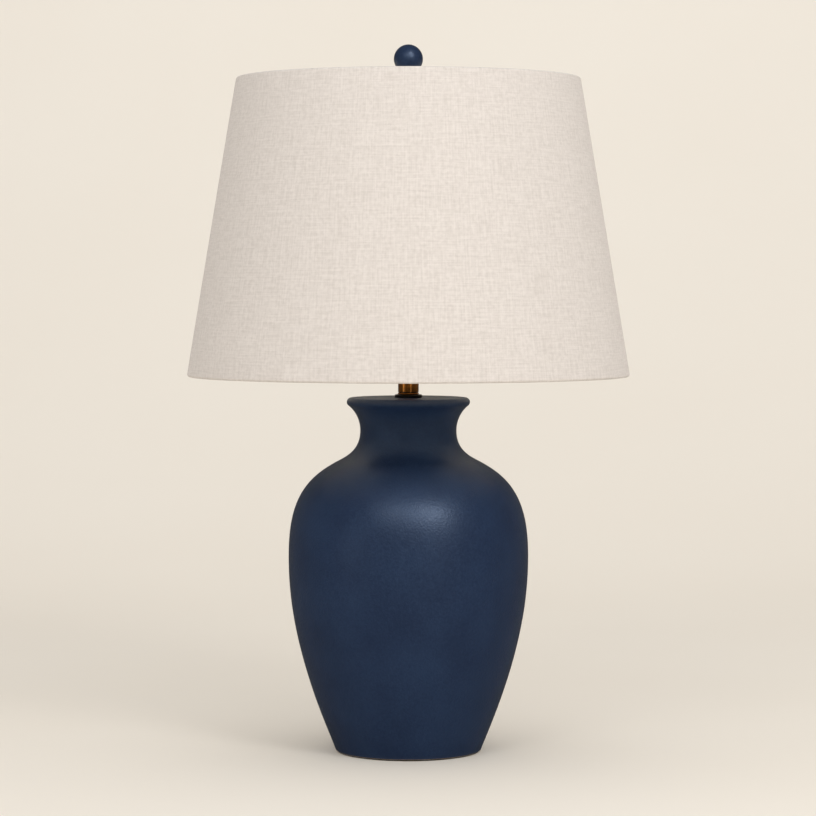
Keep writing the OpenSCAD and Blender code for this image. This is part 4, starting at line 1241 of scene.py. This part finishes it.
class LAMP_OT_shade_cloth(Operator):
    """Stretch the linen over the frame, roll its hems and lap its seam at the back"""

    bl_idname = "lamp.shade_cloth"
    bl_label = "Shade linen"

    # Steps of the linen's roll round each ring
    roll = 24

    def rings(self, s):
        """The middles of the two rings, and the linen's middle line round and between them."""
        wire = s.wire / 2
        wrap = wire + s.wrap_gap + s.linen / 2
        low = Vector((low_ring_r - wire, (low_ring_foot + low_ring_top) / 2))
        top = Vector((spider_r - wire, spider_top - wire))
        run = (top - low).normalized()
        out = Vector((run.y, -run.x))
        facing = atan2(out.y, out.x)
        a, b = low + wrap * out, top + wrap * out
        line = joined(
            arc_points(low, wrap, facing - s.wrap_turn, facing, self.roll),
            [a.lerp(b, i / 48) for i in range(49)],
            arc_points(top, wrap, facing, facing + s.wrap_turn, self.roll),
        )
        return low, top, out, line

    def execute(self, context):
        s = settings().shade
        low, top, out, line = self.rings(s)
        half = s.linen / 2
        band = beside(line, half) + beside(line, -half)[::-1]
        cloth = turn("shade_cloth", band, 256)
        self.puff_out(cloth, s, low, top)
        self.notch(cloth, s, top)
        # The wall's straight run, without the rolls
        hem, rim = line[self.roll], line[-1 - self.roll]
        mean_r = (hem.x + rim.x) / 2
        self.lay_flat(cloth, line, mean_r)
        smooth(cloth, 60)
        linen = slub_linen()
        fit(cloth, linen, "shade", "linen", "shade_linen")

        seam = self.seam(s, low, top, out)
        self.lay_flat(seam, line, mean_r)
        smooth(seam, 40)
        fit(seam, linen, "shade", "linen")
        path = sum((b - a).length for a, b in zip(line, line[1:]))
        # The developed cone: the radius of its wide edge, half its angle, and its spare edges
        slope = (hem.x - rim.x) / (rim - hem).length
        wide, sector, spare = hem.x / slope, pi * slope, 0.02
        flat = (2 * wide * sin(sector) + spare, wide - rim.x / slope * cos(sector) + spare)
        return {"FINISHED"}

    def puff_out(self, cloth, s, low, top):
        """Laminated linen is never quite true: it stands off its liner here and there."""
        edge = 0.02

        def gap(co, r):
            share = (co.z - low.y) / (top.y - low.y)
            if not edge < share < 1 - edge:
                return 0
            calm = min(1.0, (share - edge) * 12, (1 - edge - share) * 12)
            return s.puff * calm * (0.5 + 0.5 * noise.noise(co * 9))

        push_out(cloth, gap)

    def notch(self, cloth, s, top):
        """Cuts the rolled linen where the three arms reach the top ring."""
        hub, length = 13 * MM - s.wire, 30 * MM
        arm_z = spider_foot + 0.8 * MM
        for i in range(3):
            angle = pi / 2 + i * 2 * pi / 3
            a = Vector((hub * cos(angle), hub * sin(angle), arm_z))
            b = Vector((top.x * cos(angle), top.x * sin(angle), top.y))
            way = b - a
            place = b - way.normalized() * (length / 2)
            turned = way.to_track_quat("Z", "Y").to_euler()
            combine(cloth, add_rod(s.arm_wire / 2 + 0.5 * MM, length, place, 32, turned))

    def seam(self, s, low, top, out):
        """A strip of the same linen, glued over the cloth's two ends at the back."""
        lift = s.wire / 2 + s.wrap_gap + s.linen + 0.12 * MM
        bottom, up = low + (lift + 0.1 * MM) * out, top + (lift + 0.1 * MM) * out
        bpy.ops.mesh.primitive_grid_add(x_subdivisions=8, y_subdivisions=40, size=1)
        strip = bpy.context.object
        strip.name = strip.data.name = "shade_seam"
        for vertex in strip.data.vertices:
            place = bottom.lerp(up, 0.012 + 0.976 * (vertex.co.y + 0.5))
            wobble = 0.25 * MM * noise.noise(Vector((0, 0, place.y)) * 60)
            angle = pi / 2 - (vertex.co.x * s.seam_w + wobble) / place.x
            vertex.co = (place.x * cos(angle), place.x * sin(angle), place.y)
        apply_modifier(strip, "SOLIDIFY", thickness=0.45 * MM, offset=0)
        edit(strip)
        bpy.ops.mesh.normals_make_consistent(inside=False)
        leave_edit()
        round_edges(strip, 0.12 * MM, sharper_than=40)
        return strip

    def lay_flat(self, piece, line, mean_r):
        """Gives the cloth a map in metres: along its threads round the shade, and up its wall."""
        runs, total = [], 0.0
        for a, b in zip(line, line[1:]):
            runs.append((a, b, total))
            total += (b - a).length
        mesh = piece.data
        heights = {}
        for vertex in mesh.vertices:
            key = (round(hypot(vertex.co.x, vertex.co.y), 5), round(vertex.co.z, 5))
            if key not in heights:
                heights[key] = self.nearest(runs, Vector(key))
        layer = mesh.uv_layers.new(name="cloth")
        for face in mesh.polygons:
            middle = atan2(face.center.x, -face.center.y)
            for loop in face.loop_indices:
                co = mesh.vertices[mesh.loops[loop].vertex_index].co
                angle = atan2(co.x, -co.y)
                if angle - middle > pi:
                    angle -= 2 * pi
                elif middle - angle > pi:
                    angle += 2 * pi
                key = (round(hypot(co.x, co.y), 5), round(co.z, 5))
                layer.data[loop].uv = (angle * mean_r, heights[key])

    def nearest(self, runs, point):
        """How far along the line its nearest place to a point lies."""
        best = (1e9, 0.0)
        for a, b, start in runs:
            way = b - a
            t = max(0.0, min(1.0, (point - a).dot(way) / way.length_squared))
            gap = (a + t * way - point).length
            if gap < best[0]:
                best = (gap, start + t * way.length)
        return best[1]


class LAMP_OT_finial(Operator):
    """Turn the finial's brass base and its glazed ball"""

    bl_idname = "lamp.finial"
    bl_label = "Finial"

    def execute(self, context):
        finish_copy("finial_base", "finial_base_finished", 0.3 * MM, brass(), "finial", "bare_brass")

        middle = Vector((0, ball_top - ball_r))
        flat_r, hole_r, depth = 6 * MM, 2.6 * MM, 9.1 * MM
        # The ball starts a little above its flat, so that the glaze rounds the edge
        start = -acos(flat_r / ball_r) + 0.03
        bottom = ball_foot + depth
        line = points((0, bottom), (hole_r, bottom), (hole_r, ball_foot), (flat_r - 0.4 * MM, ball_foot))
        ball = turn("finial_ball_glazed", line + arc_points(middle, ball_r, start, pi / 2, 64), 128)
        mark_points(ball, "edge", lambda co, r: 0.0)
        smooth(ball, 50)
        fit(ball, bpy.data.materials["satin navy glaze"], "finial", "ball_glaze", "finial_ball")
        return {"FINISHED"}


STEPS = (
    LAMP_OT_stage,
    LAMP_OT_vase,
    LAMP_OT_foot,
    LAMP_OT_neck,
    LAMP_OT_socket,
    LAMP_OT_switch,
    LAMP_OT_bulb,
    LAMP_OT_harp,
    LAMP_OT_shade_frame,
    LAMP_OT_shade_cloth,
    LAMP_OT_finial,
)


class LAMP_PT_build(Panel):
    """Lists the lamp's steps in the 3D view's sidebar"""

    bl_idname = "LAMP_PT_build"
    bl_label = "Ceramic table lamp"
    bl_space_type = "VIEW_3D"
    bl_region_type = "UI"
    bl_category = "Lamp"

    def draw(self, context):
        for step in STEPS:
            self.layout.operator(step.bl_idname)


CLASSES = (VaseSizes, ShadeSizes, HarpSizes, Finishes, StudioSettings, LampSettings, *STEPS, LAMP_PT_build)


def register():
    for cls in CLASSES:
        bpy.utils.register_class(cls)
    bpy.types.Scene.table_lamp = PointerProperty(type=LampSettings)


def unregister():
    del bpy.types.Scene.table_lamp
    for cls in reversed(CLASSES):
        bpy.utils.unregister_class(cls)


def main():
    register()
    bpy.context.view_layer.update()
    bpy.ops.object.select_all(action="DESELECT")
    for step in STEPS:
        group, name = step.bl_idname.split(".")
        getattr(getattr(bpy.ops, group), name)()


if __name__ == "__main__":
    main()
